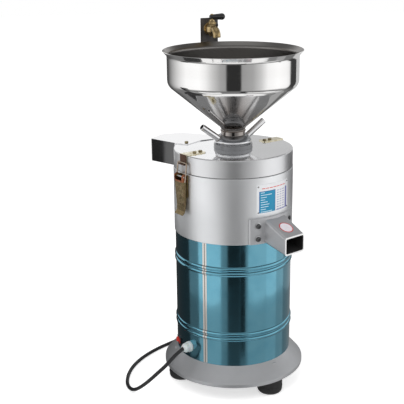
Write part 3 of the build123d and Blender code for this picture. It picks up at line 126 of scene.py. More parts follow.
def ramp(stops, value):
    """Greys that change with a value: each stop is a position and a grey."""
    node = tree.nodes.new("ShaderNodeValToRGB")
    for position, grey in stops[1:-1]:
        node.color_ramp.elements.new(position)
    for stop, (position, grey) in zip(node.color_ramp.elements, stops):
        stop.position = position
        stop.color = (grey, grey, grey, 1)
    tree.links.new(value, node.inputs["Fac"])
    return node.outputs["Color"]


cards = ramp([(angle / 360 + 0.5, light) for angle, light in card_sides], around)
height = sum_node("MULTIPLY_ADD", parts.outputs["Z"], 0.5, 0.5)
room = ramp([(rise / 2 + 0.5, light) for rise, light in room_heights], height)
shine = tree.nodes.new("ShaderNodeMix")
shine.data_type = "RGBA"
tree.links.new(ramp([(rise / 2 + 0.5, share) for rise, share in room_share], height), shine.inputs["Factor"])
tree.links.new(cards, shine.inputs["A"])
tree.links.new(room, shine.inputs["B"])
seen = tree.nodes.new("ShaderNodeLightPath")
soft = tree.nodes.new("ShaderNodeMix")
soft.data_type = "RGBA"
soft.inputs["A"].default_value = (0.50, 0.50, 0.50, 1)
tree.links.new(seen.outputs["Is Glossy Ray"], soft.inputs["Factor"])
tree.links.new(shine.outputs["Result"], soft.inputs["B"])
shown = tree.nodes.new("ShaderNodeMix")
shown.data_type = "RGBA"
shown.inputs["B"].default_value = (0.8, 0.8, 0.8, 1)
tree.links.new(seen.outputs["Is Camera Ray"], shown.inputs["Factor"])
tree.links.new(soft.outputs["Result"], shown.inputs["A"])
sky = tree.nodes.new("ShaderNodeBackground")
sky.inputs["Strength"].default_value = card_light
tree.links.new(shown.outputs["Result"], sky.inputs["Color"])
out = tree.nodes.new("ShaderNodeOutputWorld")
tree.links.new(sky.outputs[0], out.inputs["Surface"])

lamps = {"key": ((-1.5, -0.7, 2.3), 1.4, 26.0), "fill": ((0.9, -1.9, 1.5), 1.2, 10.0)}
for lamp, (spot, size, power) in lamps.items():
    lamp_data = bpy.data.lights.new(lamp, "AREA")
    lamp_data.size = size
    lamp_data.energy = power
    softbox = bpy.data.objects.new(lamp, lamp_data)
    softbox.location = spot
    softbox.rotation_euler = (Vector((0, 0, 0.4)) - Vector(spot)).to_track_quat("-Z", "Y").to_euler()
    softbox.visible_glossy = False
    scene.collection.objects.link(softbox)


def card(name, start, end, low, high, grey):
    """An upright card that only polished metal sees, from one place to another on the studio's floor plan."""
    corners = [(*start, low), (*end, low), (*end, high), (*start, high)]
    data = bpy.data.meshes.new(name)
    data.from_pydata(corners, [], [(0, 1, 2, 3)])
    board = bpy.data.objects.new(name, data)
    scene.collection.objects.link(board)
    made = bpy.data.materials.new(name)
    made.use_nodes = True
    made.node_tree.nodes.clear()
    glow = made.node_tree.nodes.new("ShaderNodeEmission")
    glow.inputs["Color"].default_value = (grey, grey, grey, 1)
    surface = made.node_tree.nodes.new("ShaderNodeOutputMaterial")
    made.node_tree.links.new(glow.outputs[0], surface.inputs["Surface"])
    data.materials.append(made)
    board.visible_camera = board.visible_diffuse = board.visible_shadow = False


def from_view(ahead, right):
    """A place on the floor plan, from the machine's axis towards the camera and to the camera's right."""
    side = radians(camera_side)
    return (ahead * cos(side) - right * sin(side), ahead * sin(side) + right * cos(side))


# Round the drum: each card's first and last angle, and its grey below and above the drum's lower beads.
drum_card_reach, card_foot, card_split, card_top = 0.59, -0.3, 0.015, 0.22
drum_cards = [(-159, -89, 0.045, 0.045), (-89, -66, 0.20, 0.36), (-66, -22, 0.60, 1.08), (26, 62, 0.52, 0.86),
              (62, 86, 0.56, 1.02), (86, 108, 0.42, 0.70), (108, 159, 0.25, 0.40)]
for start, end, low_light, high_light in drum_cards:
    ends = [from_view(drum_card_reach * cos(radians(side)), drum_card_reach * sin(radians(side)))
            for side in (start, end)]
    card(f"low_card_{end}", *ends, card_foot, card_split, low_light)
    card(f"high_card_{end}", *ends, card_split, card_top, high_light)
# Single cards: the dark gap's right edge on the drum, the chute's front in two greys, and the lid's right half.
card("low_flag", from_view(1.09, 0.257), from_view(1.03, 0.432), -0.4, 0.04, 0.03)
card("chute_flag", (-0.493, 0.407), (-0.427, 0.507), 0.2, 0.46, 0.02)
card("chute_grey", (-0.493, 0.407), (-0.548, 0.324), 0.2, 0.46, 0.16)
card("back_card", from_view(-0.40, 0.01), from_view(-0.40, 0.5), 0.4, 0.8, 0.62)

# Power cord: a black flexible lead of 7.5 mm. It leaves the gland, drops to the floor beside the base,
# runs round behind the machine and is put away there in a flat coil, with its plug lying on top.
mm = 0.001
cord_d = 7.5 * mm
gland_z = 97.6 * mm
lying = 3.95 * mm


def finish(name, colour, metallic=0.0, roughness=0.5, **more):
    """A surface with one colour and gloss, ready for its grain. Further sockets are given by name."""
    made = bpy.data.materials.new(name)
    made.use_nodes = True
    shader = made.node_tree.nodes["Principled BSDF"]
    shader.inputs["Base Color"].default_value = (*colour, 1)
    shader.inputs["Metallic"].default_value = metallic
    shader.inputs["Roughness"].default_value = roughness
    for socket, value in more.items():
        shader.inputs[socket.replace("_", " ")].default_value = value
    return made


def grain(made, size, stretch=(1, 1, 1), rings=False, bump=None, gloss=None, tint=None, detail=4.0):
    """Noise of one grain size that raises the surface, varies its gloss or mixes in a second colour.

    With rings, the grain runs round the machine's upright axis, as a lathe or a spinning tool leaves it.
    """
    tree = made.node_tree
    shader = tree.nodes["Principled BSDF"]
    place = tree.nodes.new("ShaderNodeTexCoord").outputs["Object"]
    if rings:
        split = tree.nodes.new("ShaderNodeSeparateXYZ")
        tree.links.new(place, split.inputs[0])
        flat = tree.nodes.new("ShaderNodeCombineXYZ")
        tree.links.new(split.outputs["X"], flat.inputs["X"])
        tree.links.new(split.outputs["Y"], flat.inputs["Y"])
        reach = tree.nodes.new("ShaderNodeVectorMath")
        reach.operation = "LENGTH"
        tree.links.new(flat.outputs[0], reach.inputs[0])
        polar = tree.nodes.new("ShaderNodeCombineXYZ")
        tree.links.new(reach.outputs["Value"], polar.inputs["X"])
        tree.links.new(split.outputs["Z"], polar.inputs["Y"])
        place = polar.outputs[0]
    scaled = tree.nodes.new("ShaderNodeMapping")
    scaled.inputs["Scale"].default_value = [s / size for s in stretch]
    tree.links.new(place, scaled.inputs["Vector"])
    noise = tree.nodes.new("ShaderNodeTexNoise")
    noise.inputs["Scale"].default_value = 1.0
    noise.inputs["Detail"].default_value = detail
    tree.links.new(scaled.outputs[0], noise.inputs["Vector"])
    if bump:
        raised = tree.nodes.new("ShaderNodeBump")
        raised.inputs["Distance"].default_value = bump
        if shader.inputs["Normal"].links:
            tree.links.new(shader.inputs["Normal"].links[0].from_socket, raised.inputs["Normal"])
        tree.links.new(noise.outputs["Fac"], raised.inputs["Height"])
        tree.links.new(raised.outputs[0], shader.inputs["Normal"])
    if gloss:
        spread = tree.nodes.new("ShaderNodeMapRange")
        spread.inputs["From Min"].default_value, spread.inputs["From Max"].default_value = 0.3, 0.7
        spread.inputs["To Min"].default_value, spread.inputs["To Max"].default_value = gloss
        tree.links.new(noise.outputs["Fac"], spread.inputs["Value"])
        tree.links.new(spread.outputs[0], shader.inputs["Roughness"])
    if tint:
        colour, low, high = tint
        where = tree.nodes.new("ShaderNodeMapRange")
        where.inputs["From Min"].default_value, where.inputs["From Max"].default_value = low, high
        tree.links.new(noise.outputs["Fac"], where.inputs["Value"])
        mixed(made, colour, where.outputs[0])
    return made


def mixed(made, colour, where):
    """Mix a second colour into the base colour where the given output is one."""
    tree = made.node_tree
    socket = tree.nodes["Principled BSDF"].inputs["Base Color"]
    blend = tree.nodes.new("ShaderNodeMix")
    blend.data_type = "RGBA"
    if socket.links:
        tree.links.new(socket.links[0].from_socket, blend.inputs["A"])
    else:
        blend.inputs["A"].default_value = socket.default_value[:]
    blend.inputs["B"].default_value = (*colour, 1)
    tree.links.new(where, blend.inputs["Factor"])
    tree.links.new(blend.outputs["Result"], socket)


def mixed_past(made, colour, axis, limit, below=False):
    """Mix in another colour past a place along one axis of the frame, or short of it."""
    tree = made.node_tree
    split = tree.nodes.new("ShaderNodeSeparateXYZ")
    tree.links.new(tree.nodes.new("ShaderNodeTexCoord").outputs["Object"], split.inputs[0])
    past = tree.nodes.new("ShaderNodeMath")
    past.operation = "LESS_THAN" if below else "GREATER_THAN"
    past.inputs[1].default_value = limit
    tree.links.new(split.outputs[axis], past.inputs[0])
    mixed(made, colour, past.outputs[0])


def soften(made, radius, edge_colour=None):
    """Round the sharp edges to the eye by a small radius, and let another colour show on them; on the latch lever it is
    a painted highlight.
    """
    tree = made.node_tree
    shader = tree.nodes["Principled BSDF"]
    rounded = tree.nodes.new("ShaderNodeBevel")
    rounded.samples = 4
    rounded.inputs["Radius"].default_value = radius
    first = shader.inputs["Normal"]
    while first.links and "Normal" in first.links[0].from_node.inputs:
        first = first.links[0].from_node.inputs["Normal"]
    tree.links.new(rounded.outputs[0], first)
    if edge_colour:
        plain = tree.nodes.new("ShaderNodeNewGeometry")
        match = tree.nodes.new("ShaderNodeVectorMath")
        match.operation = "DOT_PRODUCT"
        tree.links.new(rounded.outputs[0], match.inputs[0])
        tree.links.new(plain.outputs["Normal"], match.inputs[1])
        edge = tree.nodes.new("ShaderNodeMapRange")
        edge.inputs["From Min"].default_value, edge.inputs["From Max"].default_value = 0.97, 0.80
        tree.links.new(match.outputs["Value"], edge.inputs["Value"])
        mixed(made, edge_colour, edge.outputs[0])
    return made


def dress(made, *names):
    """Give a finish to nodes of the frame."""
    for name in names:
        for number in range(max(1, len(nodes[name].data.materials))):
            if nodes[name].data.materials:
                nodes[name].data.materials[number] = made
            else:
                nodes[name].data.materials.append(made)


def add(piece, body, made=None):
    """Put a new piece in the scene, on its body, with its finish."""
    if piece.name not in scene.collection.objects:
        scene.collection.objects.link(piece)
    if made:
        piece.data.materials.append(made)
    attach(piece, body)
    return piece


jacket = soften(finish("cord_jacket", (0.016, 0.016, 0.017), roughness=0.42), 0.4 * mm)
grain(jacket, 1.5 * mm, bump=0.05 * mm, gloss=(0.34, 0.5))
to_floor = [(-139, 0, gland_z), (-156, 0, gland_z - 6 * mm), (-171, 0, gland_z - 16 * mm),
            (-187, 1, gland_z - 26 * mm), (-203, 5, gland_z - 37 * mm), (-217, 14, gland_z - 52 * mm),
            (-226, 30, gland_z - 69 * mm), (-229, 51, gland_z - 84 * mm), (-224, 76, lying + 3 * mm)]
along_floor = [(-211, 103), (-189, 130), (-161, 154), (-127, 173), (-90, 186), (-51, 194), (-12, 197), (27, 199),
               (63, 204), (97, 199)]
cord_points = [(x * mm, y * mm, z) for x, y, z in to_floor] + [(x * mm, y * mm, lying) for x, y in along_floor]
coil_centre = Vector((128 * mm, 158 * mm))
coil_outer, coil_inner = 45.75 * mm, 38.25 * mm
coil_entry = 100.0
coil_turns = 3.44
turn_points = 16


def ease(value, start, end):
    """A smooth step from 0 at start to 1 at end."""
    share = min(1.0, max(0.0, (value - start) / (end - start)))
    return share * share * (3 - 2 * share)


for step in range(int(coil_turns * turn_points) + 1):
    turned = step / turn_points
    inward = ease(turned, 0.83, 1.0) - ease(turned, 2.47, 2.62)
    climb = ease(turned, 1.6, 1.85)
    angle = radians(coil_entry - 360 * turned)
    reach = coil_outer + (coil_inner - coil_outer) * inward
    cord_points.append((coil_centre.x + reach * cos(angle), coil_centre.y + reach * sin(angle),
                        lying + cord_d * climb))
to_plug = [(8, -50, 13.0), (-9.6, -56, 16), (-27, -50.5, 19), (-37.5, -39, 22), (-40, -26, 23.4)]
cord_points += [(coil_centre.x + x * mm, coil_centre.y + y * mm, z * mm) for x, y, z in to_plug]
cord_line = bpy.data.curves.new("cord", "CURVE")
cord_line.dimensions = "3D"
spline = cord_line.splines.new("NURBS")
spline.points.add(len(cord_points) - 1)
for point, spot in zip(spline.points, cord_points):
    point.co = (*spot, 1)
spline.order_u = 3
spline.use_endpoint_u = True
spline.resolution_u = 8
cord_line.bevel_depth = cord_d / 2
cord_line.bevel_resolution = 5
cord_line.use_fill_caps = True
cord = add(bpy.data.objects.new("cord", cord_line), "machine", jacket)
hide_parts("power_cord", "cord_coil")
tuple(cord_points[0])

# Plug: moulded on the cord's end, black with a fine texture, with bright flat pins.
# The pins are the part of the node beyond the moulded body's face.
moulding = soften(finish("plug_moulding", (0.018, 0.018, 0.019), roughness=0.5), 0.8 * mm)
grain(moulding, 0.8 * mm, bump=0.06 * mm, gloss=(0.42, 0.58))
pin_metal = grain(finish("plug_pin_metal", (0.72, 0.70, 0.62), metallic=1.0, roughness=0.25), 2 * mm,
                  gloss=(0.18, 0.34))


def beyond(made, other, axis, limit):
    """A finish that turns into another one beyond a limit along an axis of the frame."""
    tree = made.node_tree
    shader = tree.nodes["Principled BSDF"]
    split = tree.nodes.new("ShaderNodeSeparateXYZ")
    tree.links.new(tree.nodes.new("ShaderNodeTexCoord").outputs["Object"], split.inputs[0])
    past = tree.nodes.new("ShaderNodeMath")
    past.operation = "GREATER_THAN"
    past.inputs[1].default_value = limit
    tree.links.new(split.outputs[axis], past.inputs[0])
    mixed(made, other.node_tree.nodes["Principled BSDF"].inputs["Base Color"].default_value[:3], past.outputs[0])
    tree.links.new(past.outputs[0], shader.inputs["Metallic"])
    return made


plug_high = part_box("power_plug")[1]
dress(beyond(moulding, pin_metal, "Y", plug_high.y - 18 * mm), "power_plug")
dress(jacket, "power_cord", "cord_coil")

# Base casting: a flared skirt of cast aluminium with a grey sprayed finish, fine like hammered sand,
# made a little darker on its sharp edges, its lip and shoulder among them.
base_paint = finish("grey_enamel", (0.59, 0.60, 0.62), metallic=0.8, roughness=0.38, Coat_Weight=0.25,
                    Coat_Roughness=0.25)
soften(base_paint, 1.0 * mm, edge_colour=(0.52, 0.53, 0.54))
grain(base_paint, 0.9 * mm, bump=0.035 * mm, detail=2)
grain(base_paint, 60 * mm, gloss=(0.36, 0.46), tint=((0.53, 0.54, 0.555), 0.45, 0.85))
dress(base_paint, "base_casting")

# Rubber feet: three moulded buffers, matt black with a dusty bloom, and their zinc-plated bolts.
foot_rubber = soften(finish("foot_rubber", (0.020, 0.020, 0.021), roughness=0.62), 1.0 * mm)
grain(foot_rubber, 2.5 * mm, bump=0.08 * mm, gloss=(0.5, 0.75), tint=((0.05, 0.048, 0.045), 0.55, 0.9))
dress(foot_rubber, "rubber_feet")
bolt_metal = soften(finish("zinc_plate", (0.62, 0.63, 0.64), metallic=1.0, roughness=0.3), 0.3 * mm)
grain(bolt_metal, 4 * mm, bump=0.02 * mm, gloss=(0.22, 0.42))
dress(bolt_metal, "foot_bolts", "motor_tie_bolts", "housing_bolts", "capacitor_clip", "latch_pins")
foot_groove_low, foot_groove_high = 14 * mm, 16 * mm
foot_circle = 114 * mm
foot_reach = 26 * mm


def shaped(name, corners, faces, smooth=True):
    """A mesh object from its corners and faces, smooth except across sharp edges."""
    data = bpy.data.meshes.new(name)
    data.from_pydata([tuple(corner) for corner in corners], [], faces)
    data.validate()
    data.update()
    if smooth:
        data.shade_smooth()
        data.set_sharp_from_angle(angle=radians(35))
    return bpy.data.objects.new(name, data)


def turned(name, outline, centre=(0, 0, 0), axis=(0, 0, 1), steps=48):
    """A closed outline of (radius, height) pairs turned round an axis through a centre."""
    tilt = Vector((0, 0, 1)).rotation_difference(Vector(axis).normalized()).to_matrix()
    corners, faces = [], []
    for step in range(steps):
        angle = 2 * pi * step / steps
        for reach, rise in outline:
            corners.append(Vector(centre) + tilt @ Vector((reach * cos(angle), reach * sin(angle), rise)))
    count = len(outline)
    for step in range(steps):
        here, there = step * count, (step + 1) % steps * count
        for number in range(count):
            after = (number + 1) % count
            faces.append((here + number, there + number, there + after, here + after))
    return shaped(name, corners, faces)


def joined(name, pieces):
    """Several mesh objects as one, for small fittings of a kind."""
    shape = bmesh.new()
    for piece in pieces:
        shape.from_mesh(piece.data)
        bpy.data.objects.remove(piece)
    data = bpy.data.meshes.new(name)
    shape.to_mesh(data)
    shape.free()
    return bpy.data.objects.new(name, data)


foot_bands = []
for number in range(3):
    side = radians(-90 + 120 * number)
    ring = [(foot_reach - 0.3 * mm, foot_groove_low), (foot_reach + 0.5 * mm, foot_groove_low + 0.5 * mm),
            (foot_reach + 0.5 * mm, foot_groove_high - 0.5 * mm), (foot_reach - 0.3 * mm, foot_groove_high)]
    foot_bands.append(turned("foot_band", ring, (foot_circle * cos(side), foot_circle * sin(side), 0)))
add(joined("foot_bands", foot_bands), "machine", foot_rubber)

# Drum: stainless sheet rolled and beaded, under a blue-green gloss film that tints its reflections.
# The film stops short of the upright lap weld, which stays bare.
drum_r, deck_z, drum_h = 120.0 * mm, 73.0 * mm, 260.0 * mm
bead_proud, bead_w, bead_pitch = 2.3 * mm, 9.0 * mm, 10.8 * mm
bead_r = (bead_w ** 2 / 4 + bead_proud ** 2) / (2 * bead_proud)
bead_heights = [deck_z + pair + side * bead_pitch / 2 for pair in (63.5 * mm, 203.2 * mm) for side in (-1, 1)]
seam_side, seam_w = -160.0, 9.0 * mm
film = finish("drum_film", (0.155, 0.41, 0.525), metallic=1.0, roughness=0.13, Coat_Weight=0.35,
              Coat_Roughness=0.04)
grain(film, 45 * mm, stretch=(1, 1, 0.12), bump=0.05 * mm, detail=2)
grain(film, 30 * mm, gloss=(0.10, 0.17), tint=((0.12, 0.36, 0.48), 0.4, 0.9))
dress(film, "drum_shell")
bare_sheet = finish("bare_stainless", (0.66, 0.64, 0.61), metallic=1.0, roughness=0.24)
grain(bare_sheet, 12 * mm, stretch=(1, 1, 0.04), bump=0.02 * mm, gloss=(0.12, 0.32))


def drum_reach(z):
    """Outer radius of the drum at a height, with its beads."""
    for bead in bead_heights:
        if abs(z - bead) < bead_w / 2:
            return drum_r + bead_proud - bead_r + sqrt(bead_r ** 2 - (z - bead) ** 2)
    return drum_r


def lap(name, sides, heights, reach, proud):
    """A thin curved sheet over a round wall: its sides are angles in radians, reach gives the wall's radius."""
    corners = []
    for layer in (proud, -0.02 * mm):
        for side in sides:
            corners += [((reach(z) + layer) * cos(side), (reach(z) + layer) * sin(side), z) for z in heights]
    rows, count = len(heights), len(sides) * len(heights)
    faces = []
    for column in range(len(sides) - 1):
        for row in range(rows - 1):
            first = column * rows + row
            faces.append((first, first + rows, first + rows + 1, first + 1))
            faces.append(tuple(count + corner for corner in (first, first + 1, first + rows + 1, first + rows)))
    rim = [column * rows for column in range(len(sides))]
    rim += [(len(sides) - 1) * rows + row for row in range(1, rows)]
    rim += [column * rows + rows - 1 for column in range(len(sides) - 2, -1, -1)]
    rim += [row for row in range(rows - 2, 0, -1)]
    for here, there in zip(rim, rim[1:] + rim[:1]):
        faces.append((there, here, count + here, count + there))
    return shaped(name, corners, faces)


def spread(start, end, steps):
    """Evenly spaced values from start to end."""
    return [start + (end - start) * step / steps for step in range(steps + 1)]


def weld(name, points, thick, body, closed=False, made=None):
    """A run of weld metal along points, rippled as it was laid."""
    line = bpy.data.curves.new(name, "CURVE")
    line.dimensions = "3D"
    spline = line.splines.new("POLY")
    spline.points.add(len(points) - 1)
    for number, (point, spot) in enumerate(zip(spline.points, points)):
        point.co = (*spot, 1)
        point.radius = 1.0 + 0.16 * (number % 2)
    spline.use_cyclic_u = closed
    line.bevel_depth = thick
    line.bevel_resolution = 3
    line.use_fill_caps = True
    return add(bpy.data.objects.new(name, line), body, made or weld_metal)


weld_metal = finish("weld_metal", (0.26, 0.22, 0.19), metallic=1.0, roughness=0.38)
grain(weld_metal, 1.5 * mm, bump=0.06 * mm, gloss=(0.28, 0.5), tint=((0.30, 0.25, 0.20), 0.5, 0.8))
seam_half = seam_w / 2 / drum_r
seam_sides = [radians(seam_side) + share * seam_half for share in (-1, -0.5, 0, 0.5, 1)]
seam_heights = spread(deck_z + 0.5 * mm, deck_z + drum_h - 0.5 * mm, 220)
add(lap("drum_seam", seam_sides, seam_heights, drum_reach, 0.12 * mm), "machine", bare_sheet)
weld("drum_seam_weld", [(drum_reach(z) * cos(radians(seam_side)), drum_reach(z) * sin(radians(seam_side)), z)
                        for z in spread(deck_z + 1 * mm, deck_z + drum_h - 1 * mm, 200)], 0.7 * mm, "machine")

# Motor, hidden in the drum: stacked laminations, varnished copper, cast end shields, ball bearings, a black
# moulded fan and a drawn capacitor can. The shaft is ground, and the stone holder and seal sit on it.
cast_metal = soften(finish("raw_casting", (0.56, 0.57, 0.58), metallic=0.9, roughness=0.5), 0.6 * mm)
grain(cast_metal, 1.4 * mm, bump=0.1 * mm, gloss=(0.42, 0.62))
dress(cast_metal, "upper_end_shield", "lower_end_shield", "stone_holder", "stone_carriage")
lamination = finish("laminations", (0.24, 0.245, 0.26), metallic=0.9, roughness=0.5)
grain(lamination, 1.0 * mm, stretch=(0.01, 0.01, 1), bump=0.1 * mm, gloss=(0.4, 0.6))
dress(lamination, "stator_core", "rotor_core")
winding = finish("varnished_wire", (0.42, 0.16, 0.05), metallic=0.3, roughness=0.3, Coat_Weight=0.6)
grain(winding, 1.2 * mm, stretch=(0.2, 0.2, 1), bump=0.25 * mm, tint=((0.25, 0.09, 0.03), 0.4, 0.7))
dress(winding, "stator_windings")
ground_steel = finish("ground_steel", (0.62, 0.62, 0.63), metallic=1.0, roughness=0.22)
grain(ground_steel, 0.5 * mm, rings=True, bump=0.01 * mm, gloss=(0.16, 0.3))
dress(ground_steel, "motor_shaft", "bearings", "shaft_nut", "guide_pin")
fan_plastic = grain(finish("fan_moulding", (0.03, 0.03, 0.032), roughness=0.5), 1 * mm, bump=0.04 * mm)
dress(fan_plastic, "cooling_fan")
can_metal = grain(finish("capacitor_can", (0.66, 0.67, 0.69), metallic=1.0, roughness=0.35), 6 * mm,
                  stretch=(1, 1, 0.1), gloss=(0.28, 0.42))
dress(can_metal, "run_capacitor")
seal_rubber = grain(finish("seal_rubber", (0.025, 0.025, 0.026), roughness=0.6), 1 * mm, bump=0.03 * mm)
dress(seal_rubber, "shaft_seal", "lid_gasket")

# Grinding parts, hidden in the housing: bonded grit stones and a basket of stainless sheet with its screen.
grit = finish("bonded_grit", (0.34, 0.31, 0.28), roughness=0.95)
grain(grit, 1.6 * mm, bump=0.6 * mm, tint=((0.55, 0.52, 0.48), 0.45, 0.7))
dress(grit, "upper_stone", "lower_stone")
basket_sheet = soften(finish("basket_sheet", (0.66, 0.66, 0.67), metallic=1.0, roughness=0.3), 0.4 * mm)
grain(basket_sheet, 8 * mm, gloss=(0.22, 0.4))
dress(basket_sheet, "basket_frame")
mesh_sheet = grain(finish("screen_sheet", (0.55, 0.55, 0.56), metallic=1.0, roughness=0.4), 0.8 * mm,
                   bump=0.1 * mm, gloss=(0.3, 0.5))
dress(mesh_sheet, "screen")

# Grinding housing: a cast bowl turned true and sprayed with silver lacquer, which flows out almost like
# metal and shows the studio's cards as soft upright bands.
silver = finish("silver_lacquer", (0.82, 0.83, 0.845), metallic=0.9, roughness=0.40, Coat_Weight=0.2,
                Coat_Roughness=0.2)
soften(silver, 0.8 * mm, edge_colour=(0.80, 0.80, 0.80))
grain(silver, 0.7 * mm, bump=0.012 * mm, detail=2)
grain(silver, 90 * mm, gloss=(0.37, 0.44), tint=((0.77, 0.785, 0.80), 0.4, 0.8))
dress(silver, "grinding_housing")

# Slurry spout: an aluminium casting left a shade darker than the housing. Its mouth is filed bright, and its
# throat is kept dark by a black sheet inside it, which is painted shade.
mouth_y, root_y = -179.5 * mm, -121.6 * mm
mouth_mid, root_mid = 339.25 * mm, 359.0 * mm
mouth_half_w, mouth_half_h = 26.0 * mm, 18.25 * mm
spout_wall = 3.0 * mm
spout_paint = finish("spout_enamel", (0.50, 0.505, 0.52), metallic=0.75, roughness=0.42, Coat_Weight=0.15)
soften(spout_paint, 1.2 * mm, edge_colour=(0.66, 0.66, 0.67))
grain(spout_paint, 0.9 * mm, bump=0.03 * mm, detail=2)
grain(spout_paint, 35 * mm, gloss=(0.36, 0.48), tint=((0.45, 0.455, 0.47), 0.45, 0.8))
mixed_past(spout_paint, (0.95, 0.95, 0.95), "Y", mouth_y + 0.8 * mm, below=True)
dress(spout_paint, "slurry_spout")
throat = grain(finish("throat_painted_shade", (0.012, 0.012, 0.012), roughness=0.75), 2 * mm, bump=0.05 * mm)


def rounded_box(half_w, half_h, corner, steps=6):
    """Points round a rectangle with rounded corners, as (across, up) pairs, counter-clockwise."""
    points = []
    for number, (x, z) in enumerate(((1, 1), (-1, 1), (-1, -1), (1, -1))):
        for step in range(steps + 1):
            angle = radians(90 * number + 90 * step / steps)
            points.append((x * (half_w - corner) + corner * cos(angle), z * (half_h - corner) + corner * sin(angle)))
    return points


def through(name, rings, closed_ends=(False, False)):
    """A skin through rings of points that all have the same count."""
    corners = [point for ring in rings for point in ring]
    count = len(rings[0])
    faces = []
    for number in range(len(rings) - 1):
        for point in range(count):
            after = (point + 1) % count
            here, there = number * count, (number + 1) * count
            faces.append((here + point, here + after, there + after, there + point))
    if closed_ends[0]:
        faces.append(tuple(range(count - 1, -1, -1)))
    if closed_ends[1]:
        faces.append(tuple(range((len(rings) - 1) * count, len(rings) * count)))
    return shaped(name, corners, faces)


def spout_ring(y, less, corner):
    """The spout's outline at a distance in front of the axis, made smaller all round by a margin."""
    share = (y - root_y) / (mouth_y - root_y)
    half_w = 27.5 * mm + (mouth_half_w - 27.5 * mm) * share - less
    half_h = 24.5 * mm + (mouth_half_h - 24.5 * mm) * share - less
    mid = root_mid + (mouth_mid - root_mid) * share
    return [(x, y, mid + z) for x, z in rounded_box(half_w, half_h, corner)]


# Painted shade: a black sheet just inside the spout's walls, from behind its root to the mouth, darkens the throat.
shade_rings = [spout_ring(root_y - 6 * mm, spout_wall + 0.05 * mm, 3 * mm),
          spout_ring(mouth_y + 0.6 * mm, spout_wall + 0.05 * mm, 3 * mm)]
shade_rings += [spout_ring(mouth_y + 0.6 * mm, spout_wall + 0.45 * mm, 3 * mm),
           spout_ring(root_y - 6 * mm, spout_wall + 0.45 * mm, 3 * mm)]
shade_rings.append(shade_rings[0])
add(through("spout_throat_painted_shade", shade_rings), "machine", throat)

# Spout screws: black oxide pan heads with a hexagon socket, pulled down on plain washers.
black_oxide = soften(finish("black_oxide", (0.12, 0.12, 0.125), metallic=1.0, roughness=0.25), 0.4 * mm)
grain(black_oxide, 2 * mm, bump=0.02 * mm, gloss=(0.20, 0.34), tint=((0.07, 0.065, 0.06), 0.5, 0.8))
dress(black_oxide, "spout_screws")
housing_r, housing_z = 121.6 * mm, 333.0 * mm
flange_reach = housing_r + 5.0 * mm
washers = []
for side in (-109, -71):
    for rise in (11.3 * mm, 38.0 * mm):
        a = radians(side)
        ring = [(5.3 * mm, 0.05 * mm), (6.9 * mm, 0.05 * mm), (6.9 * mm, 0.8 * mm), (6.6 * mm, 1.0 * mm),
                (5.3 * mm, 1.0 * mm)]
        washers.append(turned("washer", ring, (flange_reach * cos(a), flange_reach * sin(a), housing_z + rise),
                              (cos(a), sin(a), 0), 32))
add(joined("spout_washers", washers), "machine", bolt_metal)

# Inspection sticker: a plain round of white vinyl with a red border on the spout's sloping top.
vinyl_white = grain(finish("sticker_white", (0.70, 0.66, 0.70), roughness=0.35), 3 * mm, bump=0.01 * mm)
vinyl_red = grain(finish("sticker_red", (0.50, 0.035, 0.03), roughness=0.38), 3 * mm, bump=0.01 * mm)
vinyl_grey = grain(finish("sticker_grey", (0.55, 0.53, 0.60), roughness=0.38), 3 * mm, bump=0.01 * mm)
sticker_y = -155.0 * mm
slope = atan2((mouth_mid + mouth_half_h) - (root_mid + 24.5 * mm), root_y - mouth_y)
top_z = root_mid + 24.5 * mm + (root_y - sticker_y) * (sin(slope) / cos(slope))
sticker_up = (0, sin(slope), cos(slope))
for name, inner, outer, made in (("sticker_face", 0.0, 10.7, vinyl_white), ("sticker_line", 10.7, 11.5, vinyl_grey),
                                 ("sticker_field", 11.5, 12.7, vinyl_white), ("sticker_border", 12.7, 14.6, vinyl_red)):
    ring = [(inner * mm, 0.02 * mm), (outer * mm, 0.02 * mm), (outer * mm, 0.18 * mm), (inner * mm, 0.2 * mm)]
    add(turned(name, ring, (0, sticker_y, top_z), sticker_up, 64), "machine", made)

# Rating plate: thin white-coated sheet round the housing, with plain printed fields and no lettering.
# Its print is a red rule, a blue panel with light bars and a ruled white panel.
plate_white = grain(finish("plate_white", (0.80, 0.81, 0.83), metallic=0.15, roughness=0.3, Coat_Weight=0.5), 2 * mm,
                    bump=0.005 * mm)
dress(plate_white, "rating_plate")
plate_reach = housing_r + 0.85 * mm
plate_z = housing_z + 89.5 * mm


def printed(name, fields, colour, layer):
    """Flat fields of ink on the plate, each as left, right, bottom and top in millimetres from its middle."""
    ink = grain(finish(name, colour, roughness=0.35), 1.2 * mm, bump=0.004 * mm)
    patches = []
    for left, right, bottom, top in fields:
        sides = [radians(-90) + u * mm / plate_reach for u in spread(left, right, max(1, int((right - left) / 3)))]
        patches.append(lap(name, sides, [plate_z + bottom * mm, plate_z + top * mm], lambda z: plate_reach,
                           layer * 0.04 * mm))
    return add(joined(name, patches), "machine", ink)


